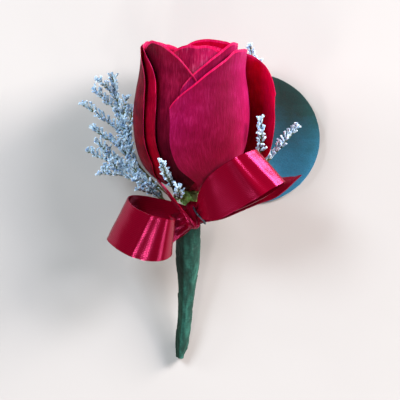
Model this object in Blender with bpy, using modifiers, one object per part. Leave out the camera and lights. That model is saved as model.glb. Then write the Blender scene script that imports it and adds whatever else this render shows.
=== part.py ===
"""A rose boutonniere lying on its back on a table.

A half-open red rose, one round eucalyptus leaf and six sprays of sea lavender are bound
with floral tape, and a satin ribbon bow is wired on where the stems meet.

X runs across the flower, Y runs from the cut stem to the bloom, and Z points up from the
table to the side that is worn outwards. The model is laid out round the tie, where the
stems meet, and moved at the end so that the middle of its footprint is the origin.
"""

import math
import random
from collections import namedtuple

import bmesh
import bpy
from mathutils import Vector

MM = 0.001

# Driving dimensions
ROSE_HEIGHT = 47 * MM
ROSE_RADIUS = 18.4 * MM
ROSE_TILT = math.radians(14)  # the bloom's top is lifted off the table by this much
ROSE_LEAN = math.radians(1.5)  # and leans this much towards +X
PETAL_THICKNESS = 0.65 * MM
RIBBON_THICKNESS = 0.6 * MM
LEAF_LENGTH = 44.4 * MM
LEAF_WIDTH = 42.0 * MM
LEAF_THICKNESS = 0.7 * MM
STEM_RADIUS = 1.35 * MM  # the rose's own stem
TWIG_RADIUS = 0.5 * MM  # a sea lavender stem and the leaf's stalk, inside the tape
WIRE_RADIUS = 0.3 * MM
GAP = 0.3 * MM  # between pieces that touch


def mm(x, y, z):
    """A point given in millimetres from the tie, at table height."""
    return Vector((x, y, z)) * MM


ROSE_BASE = mm(-0.2, 8.0, 15.6)
ROSE_UP = Vector(
    (
        math.sin(ROSE_LEAN),
        math.cos(ROSE_LEAN) * math.cos(ROSE_TILT),
        math.cos(ROSE_LEAN) * math.sin(ROSE_TILT),
    )
)
ROSE_RIGHT = ROSE_UP.cross(Vector((0, 0, 1))).normalized()
ROSE_FRONT = ROSE_RIGHT.cross(ROSE_UP)

# The rose's radius at heights above its base, both as shares of the full ones
BUD_OUTLINE = (
    (0.00, 0.17),
    (0.04, 0.38),
    (0.10, 0.63),
    (0.175, 0.80),
    (0.28, 0.92),
    (0.42, 0.985),
    (0.55, 1.00),
    (0.69, 0.965),
    (0.79, 0.925),
    (0.90, 0.895),
    (1.00, 0.88),
    (1.10, 0.87),
)

# The middle of the stems, from the rose's hip to the cut end
STEM_ROUTE = (
    mm(-0.9, 5.5, 14.9),
    mm(-0.5, -2.0, 13.2),
    mm(-0.65, -11.2, 10.9),
    mm(-0.8, -18.9, 8.9),
    mm(-1.3, -26.6, 6.9),
    mm(-1.75, -33.2, 5.0),
    mm(-2.35, -39.4, 3.2),
    mm(-2.75, -44.9, 1.9),
)


# Small helpers


def clear_scene():
    for old in list(bpy.data.objects):
        bpy.data.objects.remove(old, do_unlink=True)


def new_collection(name):
    made = bpy.data.collections.new(name)
    bpy.context.scene.collection.children.link(made)
    return made


def material(name, colour, roughness):
    made = bpy.data.materials.new(name)
    made.use_nodes = True
    surface = made.node_tree.nodes["Principled BSDF"]
    surface.inputs["Base Color"].default_value = (*colour, 1)
    surface.inputs["Roughness"].default_value = roughness
    surface.inputs["Metallic"].default_value = 0
    made.diffuse_color = (*colour, 1)
    return made


def smooth_step(x):
    x = min(1.0, max(0.0, x))
    return x * x * (3 - 2 * x)


def smooth_value(points, x):
    """A value read from a smooth curve through (x, value) points."""
    x = min(max(x, points[0][0]), points[-1][0])
    i = next(k for k in range(1, len(points)) if x <= points[k][0])
    before, after = points[max(i - 2, 0)], points[min(i + 1, len(points) - 1)]
    (x0, y0), (x1, y1) = points[i - 1], points[i]
    slope0 = (y1 - before[1]) / (x1 - before[0])
    slope1 = (after[1] - y0) / (after[0] - x0)
    width, t = x1 - x0, (x - x0) / (x1 - x0)
    return (
        (1 + 2 * t) * (1 - t) ** 2 * y0
        + t * (1 - t) ** 2 * width * slope0
        + t * t * (3 - 2 * t) * y1
        + t * t * (t - 1) * width * slope1
    )


def route_point(points, share):
    """The point at a share of the way along a smooth curve through points."""
    place = min(max(share, 0.0), 1.0) * (len(points) - 1)
    i = min(int(place), len(points) - 2)
    t = place - i
    p1, p2 = points[i], points[i + 1]
    p0 = points[i - 1] if i > 0 else p1 * 2 - p2
    p3 = points[i + 2] if i + 2 < len(points) else p2 * 2 - p1
    return 0.5 * (
        2 * p1
        + (p2 - p0) * t
        + (2 * p0 - 5 * p1 + 4 * p2 - p3) * t**2
        + (3 * p1 - p0 - 3 * p2 + p3) * t**3
    )


def mesh_object(name, mesh, collection, finish=None):
    made = bpy.data.objects.new(name, mesh)
    collection.objects.link(made)
    if finish:
        mesh.materials.append(finish)
    return made


def baked(obj):
    """The object's mesh as its modifiers leave it, or as its bevel makes a curve."""
    bpy.context.view_layer.update()
    graph = bpy.context.evaluated_depsgraph_get()
    return bpy.data.meshes.new_from_object(obj.evaluated_get(graph))


def bevelled(curve, name, collection):
    """The curve as a mesh object, with its caps sewn on."""
    holder = bpy.data.objects.new(name, curve)
    collection.objects.link(holder)
    mesh = baked(holder)
    bpy.data.objects.remove(holder)
    shape = bmesh.new()
    shape.from_mesh(mesh)
    bmesh.ops.remove_doubles(shape, verts=shape.verts, dist=0.002 * MM)
    shape.to_mesh(mesh)
    shape.free()
    return mesh_object(name, mesh, collection)


def bent_sheet(name, columns, rows, thickness, place, collection):
    """A flat grid bent by place(u, v), with u and v from -1 to 1, and thickened to a solid."""
    shape = bmesh.new()
    bmesh.ops.create_grid(shape, x_segments=columns, y_segments=rows, size=1)
    for corner in shape.verts:
        corner.co = place(corner.co.x, corner.co.y)
    mesh = bpy.data.meshes.new(name)
    shape.to_mesh(mesh)
    shape.free()
    made = mesh_object(name, mesh, collection)
    wall = made.modifiers.new("thickness", "SOLIDIFY")
    wall.thickness = thickness
    wall.offset = 0
    return made


def tube(name, points, radii, collection, sides=4):
    """A round bar through points, with a radius at each of them and capped ends."""
    curve = bpy.data.curves.new(name, "CURVE")
    curve.dimensions = "3D"
    curve.bevel_depth = 1 * MM
    curve.bevel_resolution = max(0, (sides - 4) // 2)
    curve.use_fill_caps = True
    line = curve.splines.new("POLY")
    line.points.add(len(points) - 1)
    for corner, point, radius in zip(line.points, points, radii):
        corner.co = (*point, 1)
        corner.radius = radius / MM
    return bevelled(curve, name, collection)


def smooth_tube(name, route, first, last, collection, steps=8, sides=4):
    """A round bar along a smooth curve through route, tapering from first to last."""
    shares = [k / steps for k in range(steps + 1)]
    points = [route_point(route, s) for s in shares]
    radii = [first + (last - first) * s for s in shares]
    return tube(name, points, radii, collection, sides)


def largest_body(mesh):
    """The mesh without the specks and pinholes that a union of thin pieces can leave."""
    shape = bmesh.new()
    shape.from_mesh(mesh)
    waiting, bodies = set(shape.verts), []
    while waiting:
        body, edge = set(), [next(iter(waiting))]
        while edge:
            corner = edge.pop()
            if corner in body:
                continue
            body.add(corner)
            edge += [link.other_vert(corner) for link in corner.link_edges]
        waiting -= body
        bodies.append(body)
    bodies.sort(key=len)
    specks = [corner for body in bodies[:-1] for corner in body]
    bmesh.ops.delete(shape, geom=specks, context="VERTS")
    shape.to_mesh(mesh)
    shape.free()
    return mesh


def join(name, body, repeats, finish, parts):
    """One solid from a body and the repeats that stand on it."""
    group = new_collection(name + "_repeats")
    for piece in repeats:
        for owner in list(piece.users_collection):
            owner.objects.unlink(piece)
        group.objects.link(piece)
    union = body.modifiers.new("join", "BOOLEAN")
    union.operation = "UNION"
    union.operand_type = "COLLECTION"
    union.collection = group
    union.solver = "MANIFOLD"
    mesh = largest_body(baked(body))
    for piece in [*repeats, body]:
        bpy.data.objects.remove(piece)
    bpy.data.collections.remove(group)
    mesh.name = name
    mesh.materials.clear()
    return mesh_object(name, mesh, parts, finish)


# The rose


def bud_radius(height):
    return ROSE_RADIUS * smooth_value(BUD_OUTLINE, height / ROSE_HEIGHT)


def rose_point(angle, height, radius):
    """A point round the rose's axis. Angle 0 faces up and grows towards +X."""
    around = ROSE_RIGHT * math.sin(angle) + ROSE_FRONT * math.cos(angle)
    return ROSE_BASE + ROSE_UP * height + around * radius


# Angles are in degrees round the rose and lengths in mm. A petal has its middle and half
# width, the heights of its tip and of its left and right shoulders, where its tip is from
# side to side, how bowed its top edge is on both sides of the tip (1 is straight), its
# layer as a share of the bud's radius, how far its left and right edges stand off, and how
# far its rim rolls outwards.
Petal = namedtuple(
    "Petal",
    "middle half tip left right peak left_bow right_bow layer left_lift right_lift roll",
)
OUTER_PETALS = {
    "front_right": Petal(48, 70, 49.6, 31, 32, 0.50, 1.3, 2.4, 0.97, 0.1, 1.0, 1.2),
    "front_right_under": Petal(50, 64, 49.2, 35, 34, 0.48, 1.3, 2.4, 0.88, -0.5, -0.9, 0.2),
    "front_left": Petal(-57, 76, 50.0, 32, 31, -0.12, 2.2, 1.5, 0.86, 0.0, -0.9, 0.7),
    "left": Petal(-103, 61, 47.8, 30, 35, 0.10, 1.9, 1.9, 0.93, -0.3, 0.1, 0.3),
    "left_outer": Petal(-121, 66, 46.4, 29, 32, 0.25, 2.0, 2.0, 1.00, -0.8, 0.2, 0.3),
    "right_back": Petal(138, 54, 43.0, 33, 28, -0.20, 2.0, 2.0, 1.03, 7.8, 0.4, 0.6),
    "right_inner": Petal(142, 70, 46.6, 30, 30, 0.10, 2.2, 2.2, 0.90, -0.6, -0.6, 0.2),
}
# The rings inside them: petals, half width, layer, height of the tips, turn
INNER_RINGS = (
    (3, 74, 0.74, 47.2, 6),
    (3, 72, 0.56, 46.0, 66),
    (3, 74, 0.38, 43.5, 20),
)
INNER_TIP_RISE = 3.0  # mm that an inner petal is higher at the front than at the sides
INNER_EDGE = 0.7  # mm that its edges stand off, in on one side and out on the other


def petal_place(petal):
    """The function that bends a flat grid into one petal of the rose."""

    def place(u, v):
        on_left = u < petal.peak
        side = abs(u - petal.peak) / (1 + petal.peak if on_left else 1 - petal.peak)
        shoulder = petal.left if on_left else petal.right
        bow = petal.left_bow if on_left else petal.right_bow
        curve = max(0.0, 1 - side**bow) ** (1 / bow)
        foot = 1.2
        top = shoulder + (petal.tip - shoulder) * curve
        height = foot + (top - foot) * (v + 1) / 2
        spread = 0.55 + 0.45 * smooth_step(height / 12)
        twist = 13 * (1 - smooth_step((height - 4) / 16))
        lift = petal.left_lift * max(0.0, -u) ** 1.3 + petal.right_lift * max(0.0, u) ** 1.3
        lift *= smooth_step(height / 13)
        rim = petal.roll * smooth_step((v - 0.62) / 0.38)
        radius = bud_radius(height * MM) * petal.layer + (lift + rim) * MM
        angle = math.radians(petal.middle + u * petal.half * spread + twist)
        return rose_point(angle, height * MM, radius)

    return place


def inner_petals():
    """The petals of the inner rings, each ring turned against the one outside it."""
    petals = {}
    for ring, (count, half, layer, tip, turn) in enumerate(INNER_RINGS):
        for k in range(count):
            middle = turn + k * 360 / count
            high = tip + INNER_TIP_RISE * math.cos(math.radians(middle))
            petals[f"inner_{ring}_{k}"] = Petal(
                middle, half, high, 32, 32, 0, 1.9, 1.9, layer, -INNER_EDGE, INNER_EDGE, -1
            )
    return petals


def rose_bloom(parts, finish):
    """Seven outer petals round three rings of inner ones, all standing on a slim heart."""
    pieces = [
        bent_sheet(name, 8, 7, PETAL_THICKNESS, petal_place(petal), parts)
        for name, petal in OUTER_PETALS.items()
    ]
    pieces += [
        bent_sheet(name, 6, 5, PETAL_THICKNESS, petal_place(petal), parts)
        for name, petal in inner_petals().items()
    ]
    heart_outline = (
        (0.4, 3.4),
        (1.3, 6.2),
        (2.8, 7.2),
        (4.6, 6.4),
        (8.0, 4.4),
        (28, 3.2),
        (40, 2.0),
    )
    heart = tube(
        "heart",
        [rose_point(0, height * MM, 0) for height, _ in heart_outline],
        [radius * MM for _, radius in heart_outline],
        parts,
        sides=12,
    )
    return join("rose_petals", heart, pieces, finish, parts)


def sepal_place(angle):
    """A sepal starts on the hip's rim, goes outwards and bends back down the stem."""

    def place(u, v):
        share = (v + 1) / 2
        turn = math.radians(20 + 115 * smooth_step(share * 1.15))
        reach = 1.6 + 1.9 * math.sin(min(turn, math.pi / 2)) * share**0.6
        height = -0.6 + 0.9 * math.sin(share * 2.2) - 4.0 * share**2
        width = 1.75 * (1 - share) ** 0.55 * (0.75 + 0.5 * math.sin(share * math.pi))
        middle = rose_point(angle, height * MM, reach * MM)
        aside = rose_point(angle + math.pi / 2, 0, 1) - rose_point(0, 0, 0)
        return middle + aside * u * max(width, 0.25) * MM

    return place


def rose_stem(parts, finish):
    """The hip with five bent-back sepals, and the stem that runs on inside the tape."""
    hip_outline = ((-5.4, 1.45), (-4.2, 2.5), (-2.6, 3.2), (-1.0, 3.2), (0.05, 2.6))
    hip = tube(
        "hip",
        [rose_point(0, height * MM, 0) for height, _ in hip_outline],
        [radius * MM for _, radius in hip_outline],
        parts,
        sides=12,
    )
    shares = [k / 14 for k in range(14)]
    stem = tube(
        "stem",
        [route_point(STEM_ROUTE, share) for share in shares],
        [STEM_RADIUS * (1 - 0.12 * share) for share in shares],
        parts,
        sides=8,
    )
    sepals = [
        bent_sheet(
            f"sepal_{k}", 2, 5, 0.6 * MM, sepal_place(math.radians(-42 + 72 * k)), parts
        )
        for k in range(5)
    ]
    return join("rose_stem_and_calyx", hip, [stem, *sepals], finish, parts)


# The tape


def stem_middle(y):
    """The middle of the stems where the bundle passes y."""
    low, high = 0.0, 1.0
    for _ in range(30):
        share = (low + high) / 2
        if route_point(STEM_ROUTE, share).y > y:
            low = share
        else:
            high = share
    return route_point(STEM_ROUTE, share)


# Distance down the stem from the tie, the tape's radius there, and that of the stems inside
TAPE_PROFILE = (
    (3.4, 3.85, 3.25),
    (7.0, 3.85, 3.25),
    (12.0, 3.80, 3.20),
    (17.0, 3.45, 2.90),
    (20.8, 2.97, 2.40),
    (25.6, 2.52, 1.85),
    (30.4, 2.20, 1.75),
    (37.0, 2.10, 1.68),
    (42.0, 2.00, 1.60),
)


def floral_tape(parts, finish):
    """A sleeve of tape round the stems, folded shut over the cut end."""
    places = [stem_middle(-down * MM) for down, _, _ in TAPE_PROFILE]
    end = stem_middle(-44.9 * MM) + mm(-0.05, -0.9, 0)
    sleeve = tube(
        "floral_tape",
        [*places, end],
        [*(outer * MM for _, outer, _ in TAPE_PROFILE), 1.7 * MM],
        parts,
        sides=12,
    )
    above = places[0] * 2 - places[1]
    hole = tube(
        "tape_hole",
        [above, *places, stem_middle(-44.3 * MM)],
        [TAPE_PROFILE[0][2] * MM, *(inner * MM for _, _, inner in TAPE_PROFILE), 1.4 * MM],
        parts,
        sides=12,
    )
    cut = sleeve.modifiers.new("hole", "BOOLEAN")
    cut.object = hole
    cut.solver = "EXACT"
    mesh = baked(sleeve)
    for used in (sleeve, hole):
        bpy.data.objects.remove(used)
    return mesh_object("floral_tape", mesh, parts, finish)


def bundle_route(angle, depth):
    """Where a twig runs inside the tape: beside the rose's stem, at an angle round it."""
    points = []
    for down, spread in ((depth, 0), (8, 0), (5.2, 0), (3.0, 0.2 * MM)):
        aside = Vector((math.sin(angle), 0, math.cos(angle)))
        away = STEM_RADIUS + GAP + TWIG_RADIUS + spread
        points.append(stem_middle(-down * MM) + aside * away)
    return points


# The leaf

LEAF_MIDDLE = mm(19.5, 24.6, 0)


def leaf_place(u, v):
    """A round blade, flat on the table under the rose and curled up at its free side."""
    across = u * math.sqrt(1 - v * v / 2) * LEAF_LENGTH / 2
    along = v * math.sqrt(1 - u * u / 2) * LEAF_WIDTH / 2
    curl = 3.2 * MM * smooth_step((across / (LEAF_LENGTH / 2) - 0.15) / 0.85)
    return LEAF_MIDDLE + Vector((across, along, curl + LEAF_THICKNESS / 2))


def eucalyptus_leaf(parts, finish):
    blade = bent_sheet("blade", 12, 12, LEAF_THICKNESS, leaf_place, parts)
    route = [
        *bundle_route(math.radians(145), 14),
        mm(3.0, 2.6, 8.2),
        mm(5.2, 6.5, 3.6),
        mm(7.6, 10.4, 0.9),
        mm(11.5, 15.6, 0.72),
        mm(19.5, 24.6, 0.75),
    ]
    stalk = smooth_tube("stalk", route, TWIG_RADIUS, 0.4 * MM, parts, steps=16)
    return join("eucalyptus_leaf", blade, [stalk], finish, parts)


# The sea lavender

# A spray has its angle in the bundle, where its flowers begin as a share of its stem, and
# the route of that stem from the tape's mouth. Its branches leave it at a share of the way
# along and run through their own routes, with flowers from a share of each.
Spray = namedtuple("Spray", "angle first route branches")
Branch = namedtuple("Branch", "leaves first route")
SPRAYS = {
    "upper_left": Spray(
        215,
        0.52,
        (
            mm(-5.6, 5.0, 8.4),
            mm(-11.8, 10.6, 6.4),
            mm(-17.2, 17.0, 6.4),
            mm(-20.6, 25.0, 8.2),
            mm(-22.8, 34.0, 10.8),
            mm(-24.8, 44.2, 12.6),
        ),
        (
            Branch(0.62, 0.12, [mm(-31.0, 27.6, 9.8)]),
            Branch(0.69, 0.12, [mm(-18.6, 34.0, 12.4)]),
            Branch(0.72, 0.12, [mm(-34.0, 35.4, 12.2)]),
            Branch(0.79, 0.12, [mm(-20.4, 37.0, 14.6)]),
            Branch(0.82, 0.12, [mm(-30.2, 39.8, 14.8)]),
            Branch(0.91, 0.12, [mm(-29.0, 42.6, 15.8)]),
        ),
    ),
    "middle_left": Spray(
        250,
        0.55,
        (
            mm(-7.6, 3.4, 11.2),
            mm(-13.8, 9.0, 9.6),
            mm(-19.6, 14.0, 9.6),
            mm(-25.6, 17.2, 10.8),
            mm(-32.0, 20.2, 12.0),
        ),
        (
            Branch(0.58, 0.12, [mm(-22.4, 22.6, 13.4)]),
            Branch(0.71, 0.12, [mm(-29.2, 23.2, 14.6)]),
            Branch(0.76, 0.12, [mm(-27.0, 14.8, 12.8)]),
        ),
    ),
    "lower_left": Spray(
        285,
        0.55,
        (
            mm(-7.4, 3.7, 14.2),
            mm(-12.6, 8.6, 14.2),
            mm(-18.0, 11.6, 14.6),
            mm(-23.0, 13.0, 15.4),
            mm(-28.2, 13.4, 16.4),
        ),
        (
            Branch(0.52, 0.12, [mm(-16.2, 8.2, 17.2)]),
            Branch(0.64, 0.12, [mm(-18.4, 16.4, 17.6)]),
            Branch(0.80, 0.12, [mm(-24.8, 16.6, 18.2)]),
            Branch(
                0.54, 0.42, [mm(-9.4, 7.4, 18.2), mm(-12.8, 9.8, 20.2), mm(-16.6, 11.4, 21.2)]
            ),
        ),
    ),
    "front_left": Spray(
        325,
        0.67,
        (
            mm(-4.6, 4.4, 17.3),
            mm(-4.9, 7.0, 19.8),
            mm(-5.9, 9.6, 24.8),
            mm(-7.6, 12.8, 30.6),
            mm(-8.8, 16.4, 35.2),
        ),
        (Branch(0.525, 0.35, [mm(-3.4, 5.4, 22.2), mm(-3.8, 8.8, 28.6)]),),
    ),
    "top_right": Spray(
        180,
        0.84,
        (
            mm(2.2, 5.0, 9.0),
            mm(7.8, 10.0, 5.6),
            mm(13.6, 18.0, 3.6),
            mm(20.0, 29.0, 3.8),
            mm(23.4, 40.0, 8.6),
            mm(21.0, 52.6, 14.6),
        ),
        (Branch(0.91, 0.12, [mm(24.0, 48.8, 13.0)]),),
    ),
    "right": Spray(
        100,
        0.74,
        (
            mm(6.8, 1.8, 12.0),
            mm(12.8, 6.4, 12.0),
            mm(19.0, 12.0, 12.4),
            mm(25.2, 17.6, 13.2),
            mm(29.6, 22.8, 14.0),
            mm(34.0, 27.8, 13.2),
        ),
        (
            Branch(
                0.49,
                0.66,
                [
                    mm(12.4, 7.9, 14.6),
                    mm(16.0, 11.8, 18.2),
                    mm(20.4, 16.0, 21.2),
                    mm(22.8, 22.4, 24.4),
                    mm(22.4, 30.0, 27.6),
                ],
            ),
        ),
    ),
}
SPRAY_DEPTH = 13  # mm of a twig that the tape holds
BRANCH_RADIUS = 0.34 * MM
FLOWER_SPACING = 1.0 * MM
FLOWER_LENGTH = 2.3 * MM
FLOWER_RADIUS = 0.55 * MM


def flower(root, direction, size, parts):
    """One papery sea lavender flower: a slim funnel standing on its twig."""
    shape = bmesh.new()
    apex = shape.verts.new((0, 0, -0.12 * MM))
    rim = [
        shape.verts.new(
            (
                FLOWER_RADIUS * size * math.cos(k * math.tau / 3),
                FLOWER_RADIUS * size * math.sin(k * math.tau / 3),
                FLOWER_LENGTH * size,
            )
        )
        for k in range(3)
    ]
    shape.faces.new(rim)
    for k in range(3):
        shape.faces.new((apex, rim[(k + 1) % 3], rim[k]))
    shape.transform(direction.to_track_quat("Z", "Y").to_matrix().to_4x4())
    for corner in shape.verts:
        corner.co += root
    mesh = bpy.data.meshes.new("flower")
    shape.to_mesh(mesh)
    shape.free()
    return mesh_object("flower", mesh, parts)


def flowers_along(line, start, draw, parts):
    """Flowers all along a twig's corners from a start, and one at its end."""
    lengths = [(after - before).length for before, after in zip(line, line[1:])]
    whole = sum(lengths)
    made, roll = [], draw.uniform(0, math.tau)
    count = int(whole * (1 - start) / FLOWER_SPACING)
    for k in range(count):
        place, i = whole * (start + (1 - start) * k / count), 0
        while place > lengths[i]:
            place -= lengths[i]
            i += 1
        here = line[i].lerp(line[i + 1], place / lengths[i])
        along = (line[i + 1] - line[i]).normalized()
        roll += 2.4 + draw.uniform(-0.5, 0.5)
        up = (Vector((0, 0, 1)) - along * along.z).normalized()
        out = up * (math.cos(roll) + 0.25) + along.cross(up) * math.sin(roll)
        lean = draw.uniform(0.5, 0.85)
        direction = along * math.cos(lean) + out.normalized() * math.sin(lean)
        made.append(flower(here, direction, draw.uniform(0.8, 1.1), parts))
    along = (line[-1] - line[-2]).normalized()
    made.append(flower(line[-1] - along * 0.4 * MM, along, 1.0, parts))
    return made


def branch_route(stem_route, branch):
    """A branch's route: straight to its end in a soft bend if no other points are given."""
    root = route_point(stem_route, branch.leaves)
    if len(branch.route) > 1:
        return [root, *branch.route]
    tip = branch.route[0]
    ahead = (route_point(stem_route, branch.leaves + 0.05) - root).normalized()
    bend = root + ahead * (tip - root).length * 0.35
    return [root, bend.lerp(root.lerp(tip, 0.5), 0.4), tip]


def sea_lavender(name, seed, parts, finish):
    spray = SPRAYS[name]
    draw = random.Random(seed)
    route = [*bundle_route(math.radians(spray.angle), SPRAY_DEPTH), *spray.route]
    line = [route_point(route, k / 22) for k in range(23)]
    thins = [TWIG_RADIUS + (BRANCH_RADIUS - TWIG_RADIUS) * k / 22 for k in range(23)]
    stem = tube(name, line, thins, parts)
    pieces = flowers_along(line, spray.first, draw, parts)
    for branch in spray.branches:
        points = branch_route(route, branch)
        steps = 2 * len(points)
        line = [route_point(points, k / steps) for k in range(steps + 1)]
        pieces.append(tube("branch", line, [BRANCH_RADIUS] * len(line), parts))
        pieces += flowers_along(line, branch.first, draw, parts)
    return join("sea_lavender_" + name, stem, pieces, finish, parts)


# The ribbon and its wire

# The ribbon's two edges, in pairs, along each stretch of the bow from the knot outwards
RIBBON_STRETCHES = {
    "left_loop": (
        (mm(1.6, 1.8, 18.9), mm(2.0, -2.8, 18.6)),
        (mm(-4.0, 3.9, 18.6), mm(-3.6, -7.6, 15.8)),
        (mm(-9.5, 5.1, 18.0), mm(-10.0, -10.4, 12.4)),
        (mm(-14.5, 6.1, 18.4), mm(-18.0, -9.2, 11.2)),
        (mm(-18.4, 6.3, 20.4), mm(-24.0, -7.6, 12.4)),
        (mm(-19.9, 5.2, 23.6), mm(-26.6, -7.6, 15.6)),
        (mm(-18.4, 2.9, 27.2), mm(-25.0, -9.6, 19.6)),
        (mm(-14.6, 0.8, 29.6), mm(-20.4, -12.6, 22.6)),
        (mm(-9.8, -0.9, 30.8), mm(-14.2, -14.6, 23.8)),
        (mm(-6.2, -1.6, 29.8), mm(-8.6, -14.5, 23.0)),
        (mm(-4.8, -1.4, 26.6), mm(-5.9, -12.8, 20.2)),
        (mm(-6.4, -0.2, 24.0), mm(-6.6, -10.6, 18.2)),
        (mm(-4.0, 0.8, 21.9), mm(-3.9, -7.4, 18.6)),
        (mm(1.2, 1.2, 20.6), mm(1.4, -3.0, 20.2)),
    ),
    "right_loop": (
        (mm(1.6, 2.0, 20.4), mm(2.2, -1.8, 20.4)),
        (mm(2.6, 6.6, 26.4), mm(4.2, -1.4, 23.6)),
        (mm(5.6, 12.0, 30.8), mm(8.4, -1.7, 26.6)),
        (mm(10.4, 15.8, 32.6), mm(13.6, 1.0, 29.4)),
        (mm(15.0, 18.6, 31.4), mm(19.6, 4.4, 31.8)),
        (mm(18.4, 20.2, 28.6), mm(25.6, 7.8, 33.0)),
        (mm(20.0, 20.6, 25.2), mm(30.0, 10.4, 31.8)),
        (mm(19.6, 19.0, 22.6), mm(29.6, 9.6, 28.6)),
        (mm(15.4, 13.8, 20.8), mm(23.8, 5.6, 26.0)),
        (mm(10.0, 7.6, 19.6), mm(15.4, 1.6, 23.6)),
        (mm(5.2, 3.4, 18.9), mm(7.6, -0.8, 21.2)),
        (mm(1.6, 1.8, 18.6), mm(2.2, -1.8, 18.9)),
    ),
    "left_tail": (
        (mm(0.6, 1.2, 20.6), mm(1.6, -1.6, 21.6)),
        (mm(-3.5, 3.4, 21.0), mm(-3.1, 2.2, 26.0)),
        (mm(-7.0, 7.4, 22.6), mm(-6.5, 6.7, 28.6)),
        (mm(-10.4, 11.2, 25.8), mm(-10.3, 11.0, 28.6)),
    ),
    "right_tail": (
        (mm(2.0, 0.8, 18.4), mm(2.2, -2.4, 18.2)),
        (mm(9.0, 3.4, 14.6), mm(9.8, -1.4, 19.4)),
        (mm(18.0, 6.6, 9.4), mm(19.0, 2.4, 21.0)),
        (mm(26.8, 9.6, 10.0), mm(27.6, 6.0, 22.6)),
        (mm(33.6, 11.6, 18.6), mm(35.6, 12.8, 22.6)),
    ),
}
RIBBON_STEPS = {"left_loop": 40, "right_loop": 34, "left_tail": 8, "right_tail": 12}


def ribbon_place(stretch):
    """Bends a flat grid to a stretch: v runs along it and u across, with a slight bow."""
    first = [pair[0] for pair in stretch]
    second = [pair[1] for pair in stretch]

    def place(u, v):
        share = (v + 1) / 2
        return route_point(first, share).lerp(route_point(second, share), (u + 1) / 2)

    return place


def ribbon_bow(parts, finish):
    """Two loops and two tails of one satin ribbon, gathered to pleats at the knot."""
    stretches = [
        bent_sheet(
            name,
            3,
            RIBBON_STEPS[name],
            RIBBON_THICKNESS,
            ribbon_place(pairs),
            parts,
        )
        for name, pairs in RIBBON_STRETCHES.items()
    ]
    knot_outline = ((-4.4, 1.2), (-3.2, 2.2), (-0.6, 2.5), (1.6, 2.4), (2.8, 1.3))
    knot = tube(
        "knot",
        [mm(1.2 + 0.1 * along, along, 19.8) for along, _ in knot_outline],
        [radius * MM for _, radius in knot_outline],
        parts,
        sides=10,
    )
    return join("ribbon_bow", knot, stretches, finish, parts)


# The wire crosses the front of the bow's waist and closes behind the tape
WIRE_ROUTE = (
    mm(0.2, 3.9, 20.4),
    mm(0.9, 2.8, 23.0),
    mm(2.0, 0.2, 24.0),
    mm(3.5, -2.2, 23.5),
    mm(4.6, -3.4, 20.4),
    mm(4.8, -3.3, 17.0),
    mm(4.7, -2.7, 14.0),
    mm(4.0, -2.4, 10.6),
    mm(1.2, -3.6, 7.6),
    mm(-3.0, -4.6, 8.2),
    mm(-5.2, -3.9, 12.0),
    mm(-4.6, -1.7, 14.4),
    mm(-3.4, 0.3, 14.8),
    mm(-2.5, 1.5, 15.8),
    mm(-1.6, 2.7, 17.2),
    mm(-0.4, 3.6, 18.5),
)


def tie_wire(parts, finish):
    """The loop of wire that binds the bow's waist to the taped stems."""
    steps = 3 * len(WIRE_ROUTE)
    closed = [WIRE_ROUTE[-1], *WIRE_ROUTE, WIRE_ROUTE[0], WIRE_ROUTE[1]]
    first, last = 1 / (len(closed) - 1), 1 - 1 / (len(closed) - 1)
    points = [
        route_point(closed, first + (last - first) * k / steps) for k in range(steps)
    ]
    curve = bpy.data.curves.new("bow_wire", "CURVE")
    curve.dimensions = "3D"
    curve.bevel_depth = WIRE_RADIUS
    curve.bevel_resolution = 1
    line = curve.splines.new("POLY")
    line.points.add(steps - 1)
    for corner, point in zip(line.points, points):
        corner.co = (*point, 1)
    line.use_cyclic_u = True
    made = bevelled(curve, "bow_wire", parts)
    made.data.materials.append(finish)
    return made


def rest_on_table(parts):
    """Moves every piece so that the footprint's middle is the origin, at table height."""
    corners = [
        obj.matrix_world @ corner.co for obj in parts.objects for corner in obj.data.vertices
    ]
    low = Vector([min(c[k] for c in corners) for k in range(3)])
    high = Vector([max(c[k] for c in corners) for k in range(3)])
    middle = (low + high) / 2
    for obj in parts.objects:
        for corner in obj.data.vertices:
            corner.co -= Vector((middle.x, middle.y, low.z))
        obj.data.shade_smooth()
        obj.data.set_sharp_from_angle(angle=math.radians(35))
    print("footprint middle, mm:", [round(v / MM, 3) for v in (middle.x, middle.y, low.z)])


def main():
    clear_scene()
    parts = new_collection("rose_boutonniere")
    petal_red = material("petal_red", (0.42, 0.01, 0.06), 0.6)
    rose_green = material("rose_green", (0.12, 0.30, 0.06), 0.55)
    tape_green = material("tape_green", (0.05, 0.22, 0.14), 0.75)
    leaf_green = material("leaf_blue_green", (0.08, 0.20, 0.20), 0.5)
    papery_lilac = material("papery_lilac", (0.62, 0.66, 0.85), 0.7)
    satin_red = material("satin_red", (0.50, 0.01, 0.06), 0.3)
    wire_grey = material("coated_wire", (0.25, 0.30, 0.36), 0.5)
    rose_bloom(parts, petal_red)
    rose_stem(parts, rose_green)
    floral_tape(parts, tape_green)
    eucalyptus_leaf(parts, leaf_green)
    for seed, name in enumerate(SPRAYS):
        sea_lavender(name, seed, parts, papery_lilac)
    ribbon_bow(parts, satin_red)
    tie_wire(parts, wire_grey)
    rest_on_table(parts)


main()
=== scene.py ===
import random
from collections import namedtuple
from functools import partial
from math import atan2, cos, exp, floor, hypot, pi, radians, sin, sqrt, tau

import bpy
import numpy as np
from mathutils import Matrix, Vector, noise


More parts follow.
